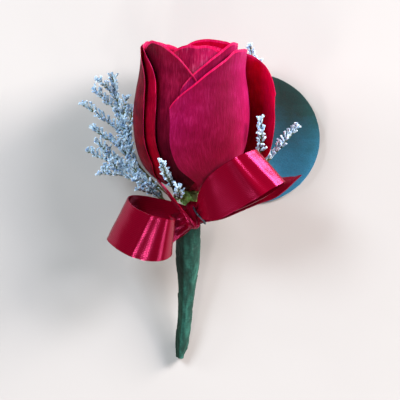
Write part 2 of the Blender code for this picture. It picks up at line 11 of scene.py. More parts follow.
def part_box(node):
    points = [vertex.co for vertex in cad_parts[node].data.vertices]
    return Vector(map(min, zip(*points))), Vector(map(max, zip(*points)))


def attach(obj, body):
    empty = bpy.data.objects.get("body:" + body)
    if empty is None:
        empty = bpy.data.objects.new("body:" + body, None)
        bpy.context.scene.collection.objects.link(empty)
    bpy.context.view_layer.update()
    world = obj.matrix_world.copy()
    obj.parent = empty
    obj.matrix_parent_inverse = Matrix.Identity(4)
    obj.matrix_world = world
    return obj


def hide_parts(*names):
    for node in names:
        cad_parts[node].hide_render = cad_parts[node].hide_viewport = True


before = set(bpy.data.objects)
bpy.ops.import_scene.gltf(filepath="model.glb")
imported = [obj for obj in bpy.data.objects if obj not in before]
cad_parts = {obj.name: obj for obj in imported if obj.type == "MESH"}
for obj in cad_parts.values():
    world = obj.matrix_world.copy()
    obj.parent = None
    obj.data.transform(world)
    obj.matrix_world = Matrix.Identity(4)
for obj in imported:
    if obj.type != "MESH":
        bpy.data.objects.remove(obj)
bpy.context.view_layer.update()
mm = 0.001


# Small helpers


def linearColour(hexCode):
    parts = [int(hexCode[i : i + 2], 16) / 255 for i in (1, 3, 5)]
    linear = [c / 12.92 if c <= 0.04045 else ((c + 0.055) / 1.055) ** 2.4 for c in parts]
    return (*linear, 1)


# Adds a node. Each value is a property, an input's value, the stops of a colour ramp, or
# what runs to the input: a socket, or a node for its first output.
def addNode(tree, kind, values):
    node = tree.nodes.new("ShaderNode" + kind)
    for key, value in values.items():
        if isinstance(value, str) and value.startswith("#"):
            value = linearColour(value)
        if isinstance(value, bpy.types.Node):
            value = value.outputs[0]
        if key == "stops":
            ramp = node.color_ramp.elements
            while len(ramp) < len(value):
                ramp.new(0.5)
            for element, (position, hexCode) in zip(ramp, value):
                element.position, element.color = position, linearColour(hexCode)
        elif isinstance(value, bpy.types.NodeSocket):
            tree.links.new(value, node.inputs[key])
        elif isinstance(key, str) and hasattr(node, key):
            setattr(node, key, value)
        else:
            node.inputs[key].default_value = value
    return node


def newMaterial(name):
    made = bpy.data.materials.new(name)
    made.use_nodes = True
    made.node_tree.nodes.clear()
    return made, partial(addNode, made.node_tree)


def addObject(name, data):
    made = bpy.data.objects.new(name, data)
    bpy.context.scene.collection.objects.link(made)
    return made


def smoothStep(x):
    x = min(1.0, max(0.0, x))
    return x * x * (3 - 2 * x)


def bell(x, middle, width):
    return exp(-(((x - middle) / width) ** 2))


def smoothValue(points, x):
    x = min(max(x, points[0][0]), points[-1][0])
    i = next(k for k in range(1, len(points)) if x <= points[k][0])
    before, after = points[max(i - 2, 0)], points[min(i + 1, len(points) - 1)]
    (x0, y0), (x1, y1) = points[i - 1], points[i]
    slope0 = (y1 - before[1]) / (x1 - before[0])
    slope1 = (after[1] - y0) / (after[0] - x0)
    width, t = x1 - x0, (x - x0) / (x1 - x0)
    return (
        (1 + 2 * t) * (1 - t) ** 2 * y0
        + t * (1 - t) ** 2 * width * slope0
        + t * t * (3 - 2 * t) * y1
        + t * t * (t - 1) * width * slope1
    )


def routePoint(points, share):
    place = min(max(share, 0.0), 1.0) * (len(points) - 1)
    i = min(int(place), len(points) - 2)
    t = place - i
    p1, p2 = points[i], points[i + 1]
    p0 = points[i - 1] if i > 0 else p1 * 2 - p2
    p3 = points[i + 2] if i + 2 < len(points) else p2 * 2 - p1
    return 0.5 * (
        2 * p1
        + (p2 - p0) * t
        + (2 * p0 - 5 * p1 + 4 * p2 - p3) * t**2
        + (3 * p1 - p0 - 3 * p2 + p3) * t**3
    )


def evenSteps(first, last, count):
    return [first + (last - first) * k / count for k in range(count + 1)]


def routeLine(points, count):
    return [routePoint(points, share) for share in evenSteps(0, 1, count)]


# A piece being built: corners in mm from the tie, faces, a map position for each corner
# and a material number for each face.
class Build:
    def __init__(self):
        self.corners, self.faces, self.maps, self.finishes = [], [], [], []

    def add(self, corners, faces, maps, finishes=0):
        start = len(self.corners)
        self.corners += [tuple(c) for c in corners]
        self.maps += [tuple(m) for m in maps]
        self.faces += [tuple(i + start for i in face) for face in faces]
        if isinstance(finishes, int):
            finishes = [finishes] * len(faces)
        self.finishes += list(finishes)

    def finished(self, name, materials, node, sharp=40):
        mesh = bpy.data.meshes.new(name)
        place = np.array(self.corners, float) * mm + np.array(tieSpot)
        mesh.from_pydata(place.tolist(), [], self.faces)
        for finish in materials:
            mesh.materials.append(finish)
        mesh.polygons.foreach_set("material_index", self.finishes)
        layer = mesh.uv_layers.new(name="strip")
        order = np.zeros(len(mesh.loops), np.int32)
        mesh.loops.foreach_get("vertex_index", order)
        layer.data.foreach_set("uv", np.array(self.maps, np.float32)[order].ravel())
        mesh.validate()
        mesh.shade_smooth()
        mesh.set_sharp_from_angle(angle=radians(sharp))
        piece = addObject(name, mesh)
        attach(piece, "root")
        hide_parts(node)
        return piece


# A thin sheet of its own thickness from place(u, v), with u and v from -1 to 1. Front, back
# and rim are the numbers of their materials.
def addSheet(build, columns, rows, place, thickness, mapping, front=0, back=0, rim=None):
    wide = columns + 1
    spots = [(i / columns * 2 - 1, j / rows * 2 - 1) for j in range(rows + 1) for i in range(wide)]
    grid = np.array([tuple(place(u, v)) for u, v in spots]).reshape(rows + 1, wide, 3)
    normal = np.cross(np.gradient(grid, axis=1), np.gradient(grid, axis=0))
    normal /= np.maximum(np.linalg.norm(normal, axis=2, keepdims=True), 1e-9)
    thick = np.array([thickness(u, v) for u, v in spots]).reshape(rows + 1, wide, 1)
    upper = (grid + normal * thick / 2).reshape(-1, 3)
    lower = (grid - normal * thick / 2).reshape(-1, 3)
    size = len(upper)
    faces, finishes = [], []
    for j in range(rows):
        onRim = rim is not None and j == rows - 1
        for i in range(columns):
            a = j * wide + i
            quad = (a, a + 1, a + wide + 1, a + wide)
            faces += [quad, tuple(size + k for k in reversed(quad))]
            finishes += [rim, rim] if onRim else [front, back]
    around = [
        *range(columns),
        *(j * wide + columns for j in range(rows)),
        *(rows * wide + i for i in range(columns, 0, -1)),
        *(j * wide for j in range(rows, 0, -1)),
    ]
    faces += [(a, size + a, size + b, b) for a, b in zip(around, around[1:] + around[:1])]
    finishes += [front if rim is None else rim] * len(around)
    build.add(np.vstack([upper, lower]), faces, [mapping(u, v) for u, v in spots] * 2, finishes)


# The faces between rings of corners, and over both ends
def tubeFaces(rings, sides):
    faces = []
    for k in range(rings - 1):
        for i in range(sides):
            a, b = k * sides + i, k * sides + (i + 1) % sides
            faces.append((a, b, b + sides, a + sides))
    last = (rings - 1) * sides
    return [*faces, tuple(reversed(range(sides))), tuple(range(last, last + sides))]


# A round bar along points, with a radius for each and closed ends.
def addTube(build, points, radii, sides, finish=0, ripple=None):
    points = [Vector(p) for p in points]
    corners, maps = [], []
    aside = (points[1] - points[0]).normalized().orthogonal().normalized()
    travelled = 0.0
    for k, point in enumerate(points):
        ahead = (points[min(k + 1, len(points) - 1)] - points[max(k - 1, 0)]).normalized()
        aside = (aside - ahead * aside.dot(ahead)).normalized()
        other = ahead.cross(aside)
        if k:
            travelled += (point - points[k - 1]).length
        for i in range(sides):
            angle = tau * i / sides
            radius = radii[k] * (ripple(angle, travelled) if ripple else 1)
            corners.append(point + (aside * cos(angle) + other * sin(angle)) * radius)
            maps.append((i / sides * tau * radii[k], travelled))
    build.add(corners, tubeFaces(len(points), sides), maps, finish)


# The tie's place comes from the wire that binds the bow, so that every route below can be
# given in millimetres from the tie.

wire = {
    "route": (
        (0.2, 3.9, 19.4), (0.8, 3.0, 21.6), (1.9, 0.9, 23.9), (3.2, -0.7, 23.8),
        (4.4, -2.0, 21.2), (4.8, -2.7, 17.6), (4.7, -2.6, 14.0), (4.0, -2.4, 10.6),
        (1.2, -3.6, 7.6), (-3.0, -4.6, 8.2), (-5.2, -3.9, 12.0), (-4.6, -1.7, 14.4),
        (-3.4, 0.3, 14.8), (-2.5, 1.5, 15.8), (-1.6, 2.7, 17.2), (-0.4, 3.6, 18.5),
    ),
    "strandRadius": 0.19,
    "twistPitch": 1.5,
    "steps": 420,
    "sides": 7,
}


def wireLine(steps):
    route = [Vector(p) for p in wire["route"]]
    closed = [route[-1], *route, route[0], route[1]]
    first, last = 1 / (len(closed) - 1), 1 - 1 / (len(closed) - 1)
    return [routePoint(closed, share) for share in evenSteps(first, last, steps)[:-1]]


coarseLine = np.array(wireLine(48))
low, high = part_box("bow_wire")
tieSpot = (low + high) / 2 - Vector((coarseLine.min(0) + coarseLine.max(0)) / 2) * mm
print("tie at", [round(v / mm, 2) for v in tieSpot], "mm")


# The rose

rose = {
    "base": (-0.2, 8.0, 15.6),
    "tilt": 14,  # degrees that the bloom's top is lifted
    "lean": 1.5,
    "height": 47,
    "radius": 18.4,
    "budOutline": (
        (0.00, 0.17), (0.04, 0.38), (0.10, 0.63), (0.175, 0.80), (0.28, 0.92), (0.42, 0.985),
        (0.55, 1.00), (0.69, 0.965), (0.79, 0.925), (0.90, 0.895), (1.00, 0.88), (1.10, 0.87),
    ),
    "grid": (52, 56),
    "petalFoot": 1.2,  # height at which the petals leave the hip
    "thickAtFoot": 0.55,
    "thickAtRim": 0.22,
    "tipSoftness": 0.16,
    "mapReach": 24,  # mm of skin on each side of a petal's middle
    "outerWave": 0.8,
    "innerWave": 1.3,
    "innerRise": 3.0,  # the inner petals stand this much higher in front
    "seed": 4,
}

# Angles are in degrees round the rose and lengths in mm: middle and half width, heights of
# the tip and both shoulders, where the tip is, how bowed its top edge is, its layer as a
# share of the bud's radius, how far its edges stand off, its rim's roll, how much lower the
# rim is where it goes round the side, and how far its very edge curls out.
Petal = namedtuple(
    "Petal",
    "middle half tip left right peak leftBow rightBow layer leftLift rightLift roll drop curl",
    defaults=(0, 0.15),
)
outerPetals = {
    "frontRight": Petal(48, 70, 50.4, 31, 32, 0.50, 1.3, 2.4, 0.97, 0.1, 1.0, 1.0, 3.6),
    "frontRightUnder": Petal(50, 64, 52.0, 36.5, 34, 0.48, 1.3, 2.4, 0.88, -0.5, -0.9, 0.2, 3.2),
    "frontLeft": Petal(-57, 76, 50.6, 34, 31, 0.06, 2.6, 1.45, 0.86, 0.0, -0.9, 0.7, 4.2, 0.7),
    "left": Petal(-103, 61, 47.2, 30, 35, 0.10, 1.9, 1.9, 0.93, -0.3, 0.1, 0.5, 0, 0.5),
    "leftOuter": Petal(-121, 66, 46.4, 29, 32, 0.25, 2.0, 2.0, 1.00, -0.8, 0.2, 0.3, 0, 0.3),
    "rightBack": Petal(138, 54, 43.0, 33, 28, -0.20, 2.0, 2.0, 1.03, 7.8, 0.4, 0.6, 0, 0.4),
    "rightInner": Petal(142, 70, 46.6, 30, 30, 0.10, 2.2, 2.2, 0.90, -0.6, -0.6, 0.2),
}
# How many petals, half width, layer, height of the tip and turn of each inner ring
innerRings = ((3, 74, 0.74, 47.2, 6), (3, 72, 0.56, 46.0, 66), (3, 74, 0.38, 43.5, 20))

tilt, lean = radians(rose["tilt"]), radians(rose["lean"])
roseUp = Vector((sin(lean), cos(lean) * cos(tilt), cos(lean) * sin(tilt)))
roseRight = roseUp.cross(Vector((0, 0, 1))).normalized()
roseFront = roseRight.cross(roseUp)


def budRadius(height):
    share = height / rose["height"]
    return rose["radius"] * smoothValue(rose["budOutline"], share)


def rosePoint(angle, height, radius):
    around = roseRight * sin(angle) + roseFront * cos(angle)
    return Vector(rose["base"]) + roseUp * height + around * radius


def petalPlace(petal, seed, wave):
    shift = Vector((seed * 7.3, seed * 3.1, seed * 1.7))

    def place(u, v):
        onLeft = u < petal.peak
        side = abs(u - petal.peak) / (1 + petal.peak if onLeft else 1 - petal.peak)
        soft = rose["tipSoftness"]
        side = (hypot(side, soft) - soft) / (hypot(1, soft) - soft)
        shoulder = petal.left if onLeft else petal.right
        bow = petal.leftBow if onLeft else petal.rightBow
        curve = max(0.0, 1 - side**bow) ** (1 / bow)
        top = shoulder + (petal.tip - shoulder) * curve
        around = abs(petal.middle + u * petal.half + 4)
        top -= petal.drop * smoothStep((around - 52) / 42)
        # the rim is never quite even
        top += wave * 0.35 * noise.noise(shift + Vector((u * 4.2, 0, 0)))
        foot = rose["petalFoot"]
        height = foot + (top - foot) * (v + 1) / 2
        spread = 0.55 + 0.45 * smoothStep(height / 12)
        twist = 13 * (1 - smoothStep((height - 4) / 16))
        lift = petal.leftLift * max(0.0, -u) ** 1.3 + petal.rightLift * max(0.0, u) ** 1.3
        lift *= smoothStep(height / 13)
        rim = petal.roll * smoothStep((v - 0.62) / 0.38)
        rim += petal.curl * smoothStep((v - 0.93) / 0.07)
        # shallow swells over the whole petal and a finer wave near its rim
        swell = 0.22 * wave * noise.noise(shift + Vector((u * 2.1, v * 1.6, 4)))
        nearRim = smoothStep((v - 0.35) / 0.65)
        swell += 0.34 * wave * nearRim * noise.noise(shift + Vector((u * 5.5, v * 1.2, 9)))
        radius = budRadius(height) * petal.layer + lift + rim + swell
        angle = radians(petal.middle + u * petal.half * spread + twist)
        return rosePoint(angle, height, max(radius, 0.3))

    return place


def petalThickness(u, v):
    edge = max(abs(u), v) ** 6
    foot, rim = rose["thickAtFoot"], rose["thickAtRim"]
    return (foot + (rim - foot) * (v + 1) / 2) * (1 - 0.55 * edge)


# Red garden rose petal, a living skin of fine domed cells. The cells give velvet: it is
# deep where it faces the eye and paler where it turns away. Veins fan out from the foot.
def rosePetalFinish(
    name, colours, sheen, rough,
    paintedShadeTone="#ffffff", paintedEdgeShade="#f4e4e0", footRedAndShade="#f48ca0", glow=0.1,
):
    made, add = newMaterial(name)
    spots = add("UVMap", {"uv_map": "strip"})
    place = add("TexCoord", {}).outputs["Object"]
    # veins are about 0.7 mm apart and run up the petal, a little off its line
    stretched = add("Mapping", {
        "Rotation": (0, 0, 0.12), "Scale": (1.5, 0.16, 1), "Vector": spots,
    })
    veins = add("TexNoise", {
        "Scale": 1.0, "Detail": 4, "Roughness": 0.6, "Distortion": 0.7, "Vector": stretched,
    })
    # side veins branch off at a slant, 0.5 mm apart
    slanted = add("Mapping", {"Rotation": (0, 0, -0.95), "Scale": (2.0, 0.35, 1), "Vector": spots})
    sideVeins = add("TexNoise", {
        "Scale": 1.0, "Detail": 3, "Roughness": 0.6, "Distortion": 0.3, "Vector": slanted,
    })
    # clouds of colour 5 mm across
    clouds = add("TexNoise", {"Scale": 200, "Detail": 3, "Vector": place})
    allVeins = add("Math", {"operation": "ADD", 0: veins, 1: sideVeins})
    softened = add("Math", {"operation": "MULTIPLY", 1: 0.32, 0: allVeins})
    mixed = add("Math", {"operation": "MULTIPLY_ADD", 1: 0.36, 0: clouds, 2: softened})
    colour = add("ValToRGB", {"stops": list(zip((0.35, 0.5, 0.65), colours)), "Fac": mixed})
    # painted shade: the petal is darker over its middle, and darker still at its far edge, on the
    # side away from the light, and paler on the side towards it; it is redder towards its foot,
    # partly its own colour and partly painted shade
    parts = add("SeparateXYZ", {"Vector": spots})
    towardsLight = add("MapRange", {"From Min": -24, "From Max": 9, "Value": parts.outputs["X"]})
    raised = add("MapRange", {"From Min": 8, "From Max": 34, "Value": parts.outputs["Y"]})
    paintedShadeStops = [(0.0, paintedEdgeShade), (0.42, paintedShadeTone), (0.66, paintedShadeTone), (1.0, "#ffffff")]
    footStops = [(0.0, footRedAndShade), (1.0, "#ffffff")]
    for stops, share in ((paintedShadeStops, towardsLight), (footStops, raised)):
        shade = add("ValToRGB", {"stops": stops, "Fac": share})
        colour = add("MixRGB", {
            "blend_type": "MULTIPLY", "Fac": 1.0, "Color1": colour, "Color2": shade,
        })
    # skin cells are 0.03 mm wide, drawn at 0.3 mm so that they show
    cells = add("TexNoise", {"Scale": 3300, "Detail": 1, "Vector": place})
    relief = add("Math", {"operation": "MULTIPLY_ADD", 1: 0.5, 0: cells, 2: allVeins})
    bump = add("Bump", {"Strength": 0.45, "Distance": 0.00016, "Height": relief})
    surface = add("BsdfPrincipled", {
        "Metallic": 0.0, "IOR": 1.42, "Roughness": rough, "Specular IOR Level": 0.12,
        "Specular Tint": "#ff9cc4", "Sheen Weight": sheen, "Sheen Roughness": 0.4,
        "Sheen Tint": "#ff4f96", "Subsurface Weight": glow,
        "Subsurface Radius": (1.0, 0.1, 0.25), "Subsurface Scale": 0.0012, "Base Color": colour,
        "Normal": bump,
    })
    add("OutputMaterial", {"Surface": surface})
    return made


# painted shade: in each skin the side tone darkens the middle of the petal, away from the light
outerSkin = rosePetalFinish(
    "rosePetalOutside", ("#80083a", "#960e4d", "#b0226a"), 0.5, 0.55, paintedShadeTone="#b8a09c"
)
# darker, redder copies of the outer skin, painted shade for the petals on the shaded side
shadedSkin = rosePetalFinish("rosePetalOuterPaintedShade", ("#30000a", "#560012", "#7c041e"), 0.03, 0.6)
secondShadedSkin = rosePetalFinish("rosePetalSecondPaintedShade", ("#58000e", "#84001e", "#a6062c"), 0.03, 0.6)
# painted shade: the front left petal's skin is darker still at its edge and foot, where the front
# right petal shades it
halfShadedSkin = rosePetalFinish(
    "rosePetalHalfPaintedShade", ("#50041e", "#720828", "#94183f"), 0.13, 0.58,
    paintedShadeTone="#b09094", paintedEdgeShade="#301820", footRedAndShade="#7c3c48",
)
budSkin = rosePetalFinish(
    "rosePetalBud", ("#80083a", "#a4164e", "#d45a8c"), 0.3, 0.55, paintedShadeTone="#d8c4c0"
)
innerSkin = rosePetalFinish("rosePetalInside", ("#94001e", "#b00028", "#c20034"), 0.05, 0.62)
# the petal that stands free has light through it
throughSkin = rosePetalFinish(
    "rosePetalLitThrough", ("#9a0034", "#b0003e", "#c40a4c"), 0.08, 0.62, glow=0.35
)
# painted highlight: the rims and edges of the petals are a brighter pink, as if they catch the
# light
rimHighlightSkin = rosePetalFinish("rosePetalRimPaintedHighlight", ("#b80a44", "#d01454", "#e43a70"), 0.25, 0.5)

# painted shade: the petals that turn away from the light take darker, redder copies of the skin
petalSkins = {
    "left": secondShadedSkin,
    "leftOuter": shadedSkin,
    "rightBack": throughSkin,
    "frontLeft": halfShadedSkin,
}
petals = dict(outerPetals)
for ring, (count, half, layer, tip, turn) in enumerate(innerRings):
    for k in range(count):
        middle = turn + k * 360 / count
        high = tip + rose["innerRise"] * cos(radians(middle))
        petals[f"inner{ring + 1}{'ABC'[k]}"] = Petal(
            middle, half, high, 32, 32, 0, 1.9, 1.9, layer, -0.7, 0.7, -1
        )

mapReach = rose["mapReach"]
for number, (name, petal) in enumerate(petals.items()):
    build = Build()
    isOuter = name in outerPetals
    wave = rose["outerWave" if isOuter else "innerWave"]
    addSheet(
        build, *rose["grid"], petalPlace(petal, number + rose["seed"], wave), petalThickness,
        lambda u, v: (u * mapReach, (v + 1) * mapReach), back=1, rim=2,
    )
    front = petalSkins.get(name, outerSkin if isOuter else budSkin)
    back = throughSkin if name == "rightBack" else innerSkin
    build.finished(
        "rosePetal" + name[0].upper() + name[1:],
        (front, back, rimHighlightSkin), "rose_petals",
    )
print("rose petals:", len(petals))


# The stems' middle line, from the hip to the cut end

stem = {
    "route": (
        (-0.9, 5.5, 14.9), (-0.5, -2.0, 13.2), (-0.65, -11.2, 10.9), (-0.8, -18.9, 8.9),
        (-1.3, -26.6, 6.9), (-1.75, -33.2, 5.0), (-2.35, -39.4, 3.2), (-2.75, -44.9, 1.9),
    ),
    "radius": 1.35,
    "taper": 0.12,
    "steps": 56,
    "sides": 20,
    "routeShare": 13 / 14,  # the rose's own stem ends a little before the tape does
    "hipOutline": ((-5.4, 1.45), (-4.2, 2.5), (-2.6, 3.2), (-1.0, 3.2), (0.05, 2.6)),
    "hipRings": 16,
    "hipSides": 40,
    "sepals": 5,
    "firstSepal": -42,
    "sepalGrid": (8, 26),
}
stemRoute = [Vector(p) for p in stem["route"]]
stemEnd = stem["route"][-1][1]


def stemMiddle(y):
    lowShare, highShare = 0.0, 1.0
    for _ in range(30):
        share = (lowShare + highShare) / 2
        if routePoint(stemRoute, share).y > y:
            lowShare = share
        else:
            highShare = share
    return routePoint(stemRoute, share)


# Fresh rose green, a waxy young skin over wet flesh: bright, a little see-through, with a
# soft wax shine and darker streaks where the skin thickens.
def freshGreenFinish(name, colours, rough):
    made, add = newMaterial(name)
    place = add("TexCoord", {}).outputs["Object"]
    # streaks 0.8 mm wide run along the stem, drawn out 8 times
    stretched = add("Mapping", {"Scale": (1250, 160, 1250), "Vector": place})
    streaks = add("TexNoise", {"Scale": 1.0, "Detail": 3, "Vector": stretched})
    colour = add("ValToRGB", {"stops": list(zip((0.3, 0.5, 0.7), colours)), "Fac": streaks})
    bump = add("Bump", {"Strength": 0.4, "Distance": 0.0001, "Height": streaks})
    surface = add("BsdfPrincipled", {
        "Metallic": 0.0, "IOR": 1.45, "Roughness": rough, "Subsurface Weight": 0.15,
        "Subsurface Radius": (0.4, 1.0, 0.15), "Subsurface Scale": 0.0008, "Coat Weight": 0.12,
        "Coat Roughness": 0.4, "Base Color": colour, "Normal": bump,
    })
    add("OutputMaterial", {"Surface": surface})
    return made


# painted light: the hip and sepals are painted a paler green than they are, to stand in for light
# where the bloom shades them
hipPaintedLightSkin = freshGreenFinish("roseHipSkin", ("#8cd060", "#aae87c", "#ccf8a4"), 0.42)
sepalPaintedLightSkin = freshGreenFinish("roseSepalSkin", ("#78bc54", "#9cdc70", "#bcf094"), 0.5)
sepalEdge = freshGreenFinish("roseSepalEdge", ("#56703a", "#7c9450", "#94b068"), 0.6)


def sepalPlace(angle, reachOut):
    def place(u, v):
        share = (v + 1) / 2
        turn = radians(20 + 115 * smoothStep(share * 1.15))
        reach = 2.0 + 1.9 * sin(min(turn, pi / 2)) * share**0.6
        height = -0.6 + 0.9 * sin(share * 2.2) - 4.0 * share**2 * reachOut
        width = 1.75 * (1 - share) ** 0.55 * (0.75 + 0.5 * sin(share * pi))
        width *= 1 + 0.18 * sin(share * 26) * abs(u)  # a ragged edge
        cup = 0.28 * (u * u) * (1 - share)
        middle = rosePoint(angle, height, reach - cup)
        aside = rosePoint(angle + pi / 2, 0, 1) - rosePoint(0, 0, 0)
        return middle + aside * u * max(width, 0.12)

    return place


build = Build()
outline = stem["hipOutline"]
heights = evenSteps(outline[0][0], outline[-1][0], stem["hipRings"])
addTube(
    build, [rosePoint(0, height, 0) for height in heights],
    [smoothValue(outline, height) for height in heights], stem["hipSides"],
    ripple=lambda angle, _: 1 + 0.025 * cos(5 * angle),
)
shares = evenSteps(0, stem["routeShare"], stem["steps"])
addTube(
    build, [routePoint(stemRoute, share) for share in shares],
    [stem["radius"] * (1 - stem["taper"] * share) for share in shares], stem["sides"],
)
for k in range(stem["sepals"]):
    angle = stem["firstSepal"] + 360 / stem["sepals"] * k
    addSheet(
        build, *stem["sepalGrid"], sepalPlace(radians(angle), 0.9 + 0.05 * k),
        lambda u, v: 0.42 - 0.2 * abs(u), lambda u, v: (u * 2, v * 4), front=1, back=2,
    )
build.finished(
    "roseHipAndSepals", (hipPaintedLightSkin, sepalPaintedLightSkin, sepalEdge), "rose_stem_and_calyx"
)
print("rose hip, sepals and stem")


# The floral tape

tape = {
    # distance down the stem, outer radius, radius of the stems inside
    "profile": (
        (3.4, 3.85, 3.25), (7.0, 3.85, 3.25), (12.0, 3.80, 3.20), (17.0, 3.45, 2.90),
        (20.8, 2.97, 2.40), (25.6, 2.52, 1.85), (30.4, 2.20, 1.75), (37.0, 2.10, 1.68),
        (42.0, 2.00, 1.60), (45.8, 1.72, 1.40),
    ),
    "pitch": 11.6,  # the tape moves this far down the stem in each turn
    "step": 0.24,  # how far its edge stands on the turn below
    "sides": 84,
    "rings": 190,
    "crease": 0.11,
    "straightBelow": -44,
    "mouthDepth": 7,
    "mouthRings": 6,
    "endShares": (0.72, 0.4, 0.12),  # rings that close the cut end, as shares of its size
}


def tapeRing(y, radius, shaped):
    middle = stemMiddle(max(y, stemEnd))
    if y < stemEnd:  # straight on past the stem's end
        middle = middle + Vector((-0.05, -1, -0.2)) * (stemEnd - y)
    ahead = Vector((-0.07, -0.97, -0.23))
    if y > tape["straightBelow"]:
        ahead = (stemMiddle(y - 0.5) - stemMiddle(y + 0.5)).normalized()
    aside = Vector((1, 0, 0))
    aside = (aside - ahead * aside.dot(ahead)).normalized()
    over = aside.cross(ahead)
    corners, maps = [], []
    for i in range(tape["sides"]):
        angle = tau * i / tape["sides"]
        far = radius
        if shaped:
            turn = -y / tape["pitch"] - angle / tau + 0.33
            phase = turn - floor(turn)
            # each turn lies on the one before, with a soft edge
            far += tape["step"] * (smoothStep(phase / 0.035) - phase)
            strands = Vector((cos(angle) * 1.6, y * 0.10, sin(angle) * 1.6))
            far += 0.30 * noise.noise(strands * 1.15 + Vector((3, 0, 0)))
            fine = Vector((cos(angle) * 5, y * 0.55, sin(angle) * 5))
            far += tape["crease"] * noise.noise(fine)
            # a fold in the paper runs down the whole length
            far += 0.24 * bell(angle, 1.95, 0.15) - 0.26 * bell(angle, 2.6, 0.42)
            crepe = Vector((cos(angle) * 14, y * 1.3, sin(angle) * 14))
            far += 0.05 * noise.noise(crepe)
        far = min(far, radius + 0.25)
        if shaped:  # the end was cut at a slant, which takes its right side away
            far -= 1.3 * smoothStep((-y - 41.2) / 4.6) * max(0.0, cos(angle))
        corners.append(middle + aside * cos(angle) * far - over * sin(angle) * far)
        maps.append((angle * 3.2, y))
    return corners, maps


# Floral tape, a green crepe paper soaked in wax that is pulled tight as it is wound. It is
# dull with a faint wax shine, has fine creases along the pull, and is paler where stretched.
def floralTapeFinish():
    made, add = newMaterial("waxedCrepeTape")
    spots = add("UVMap", {"uv_map": "strip"})
    place = add("TexCoord", {}).outputs["Object"]
    # stretched paper: patches 9 mm long down the stem and a third as wide
    drawnOut = add("Mapping", {"Scale": (380, 110, 380), "Vector": place})
    patches = add("TexNoise", {"Scale": 1.0, "Detail": 5, "Roughness": 0.66, "Vector": drawnOut})
    # crepe creases every 0.5 mm, at a slant across the stem
    slanted = add("Mapping", {"Rotation": (0, 0, 0.55), "Scale": (0.6, 2.0, 1), "Vector": spots})
    creases = add("TexNoise", {"Scale": 1.0, "Detail": 4, "Roughness": 0.65, "Vector": slanted})
    both = add("Math", {"operation": "MULTIPLY_ADD", 1: 0.25, 0: creases, 2: patches})
    colour = add("ValToRGB", {
        "stops": [(0.42, "#122b23"), (0.63, "#1a443a"), (0.82, "#2e6a5c")], "Fac": both,
    })
    # painted shade: the strip left of the long fold is darker and greyer, on the side away from
    # the light
    parts = add("SeparateXYZ", {"Vector": spots})
    wayRound = add("MapRange", {"From Min": 0, "From Max": 20, "Value": parts.outputs["X"]})
    shadedStripStops = [(0.30, "#ffffff"), (0.325, "#bcaea0"), (0.50, "#b0a498"), (0.62, "#ffffff")]
    shadedStrip = add("ValToRGB", {"stops": shadedStripStops, "Fac": wayRound})
    toned = add("MixRGB", {"blend_type": "MULTIPLY", "Fac": 1.0, "Color1": colour, "Color2": shadedStrip})
    bump = add("Bump", {"Strength": 0.6, "Distance": 0.0002, "Height": both})
    surface = add("BsdfPrincipled", {
        "Metallic": 0.0, "IOR": 1.44, "Roughness": 0.66, "Specular IOR Level": 0.3,
        "Sheen Weight": 0.04, "Sheen Roughness": 0.6, "Sheen Tint": "#9fd8c2",
        "Base Color": toned, "Normal": bump,
    })
    add("OutputMaterial", {"Surface": surface})
    return made


build = Build()
profile = tape["profile"]
top, bottom = profile[0][0], profile[-1][0]
outer = [(down, radius) for down, radius, _ in profile]
inner = [(down, radius) for down, _, radius in profile]
rows = []
sides = tape["sides"]
# up the inside of the mouth
for down in evenSteps(top + tape["mouthDepth"], top, tape["mouthRings"]):
    rows.append(tapeRing(-down, smoothValue(inner, down) + 0.25, False))
# over its rim and down to the cut end
for down in evenSteps(top, bottom, tape["rings"]):
    rows.append(tapeRing(-down, smoothValue(outer, down), True))
corners = [c for ring, _ in rows for c in ring]
maps = [m for _, ring in rows for m in ring]
faces = [tuple(range(sides))]
for k in range(len(rows) - 1):
    for i in range(sides):
        a, b = k * sides + i, k * sides + (i + 1) % sides
        faces.append((a, a + sides, b + sides, b))
# the end is folded shut towards a slanted crease
last = (len(rows) - 1) * sides
ending = stemMiddle(stemEnd) + Vector((-0.1, -1.25, -0.2))
start = len(corners)
endShares = tape["endShares"]
for share in endShares:
    for i in range(sides):
        pulled = ending + (Vector(corners[last + i]) - ending) * share
        corners.append(pulled + Vector((0, -0.28 * (1 - share), 0)))
        maps.append((i * 0.1, -46 - share))
for k in range(len(endShares)):
    above = last if k == 0 else start + (k - 1) * sides
    below = start + k * sides
    for i in range(sides):
        j = (i + 1) % sides
        faces.append((above + i, below + i, below + j, above + j))
faces.append(tuple(reversed(range(below, below + sides))))
build.add(corners, faces, maps)
build.finished("woundFloralTape", (floralTapeFinish(),), "floral_tape", sharp=50)
print("floral tape")


# The eucalyptus leaf

leaf = {
    "middle": (19.5, 24.6, 0),
    "length": 44.4,
    "width": 42.0,
    "thickness": 0.7,
    "rimThickness": 0.34,
    "curl": 3.2,
    "ribHeading": atan2(9.0, 8.0),
    "sideVeins": 9,
    "relief": 0.10,
    "grid": (72, 72),
    "mapReach": (22, 21),
    "stalkAngle": 145,
    "stalkDepth": 14,
    "stalkSteps": 64,
    "stalkSides": 12,
}


def bundleRoute(angle, depth):
    points = []
    for down, spread in ((depth, 0), (8, 0), (5.2, 0), (3.0, 0.2)):
        aside = Vector((sin(angle), 0, cos(angle)))
        points.append(stemMiddle(-down) + aside * (stem["radius"] + 0.8 + spread))
    return points


# How far along and beside the midrib a point of the blade lies, in mm
def leafSpot(across, along):
    heading = leaf["ribHeading"]
    onRib = across * cos(heading) + along * sin(heading)
    offRib = -across * sin(heading) + along * cos(heading)
    return onRib, offRib


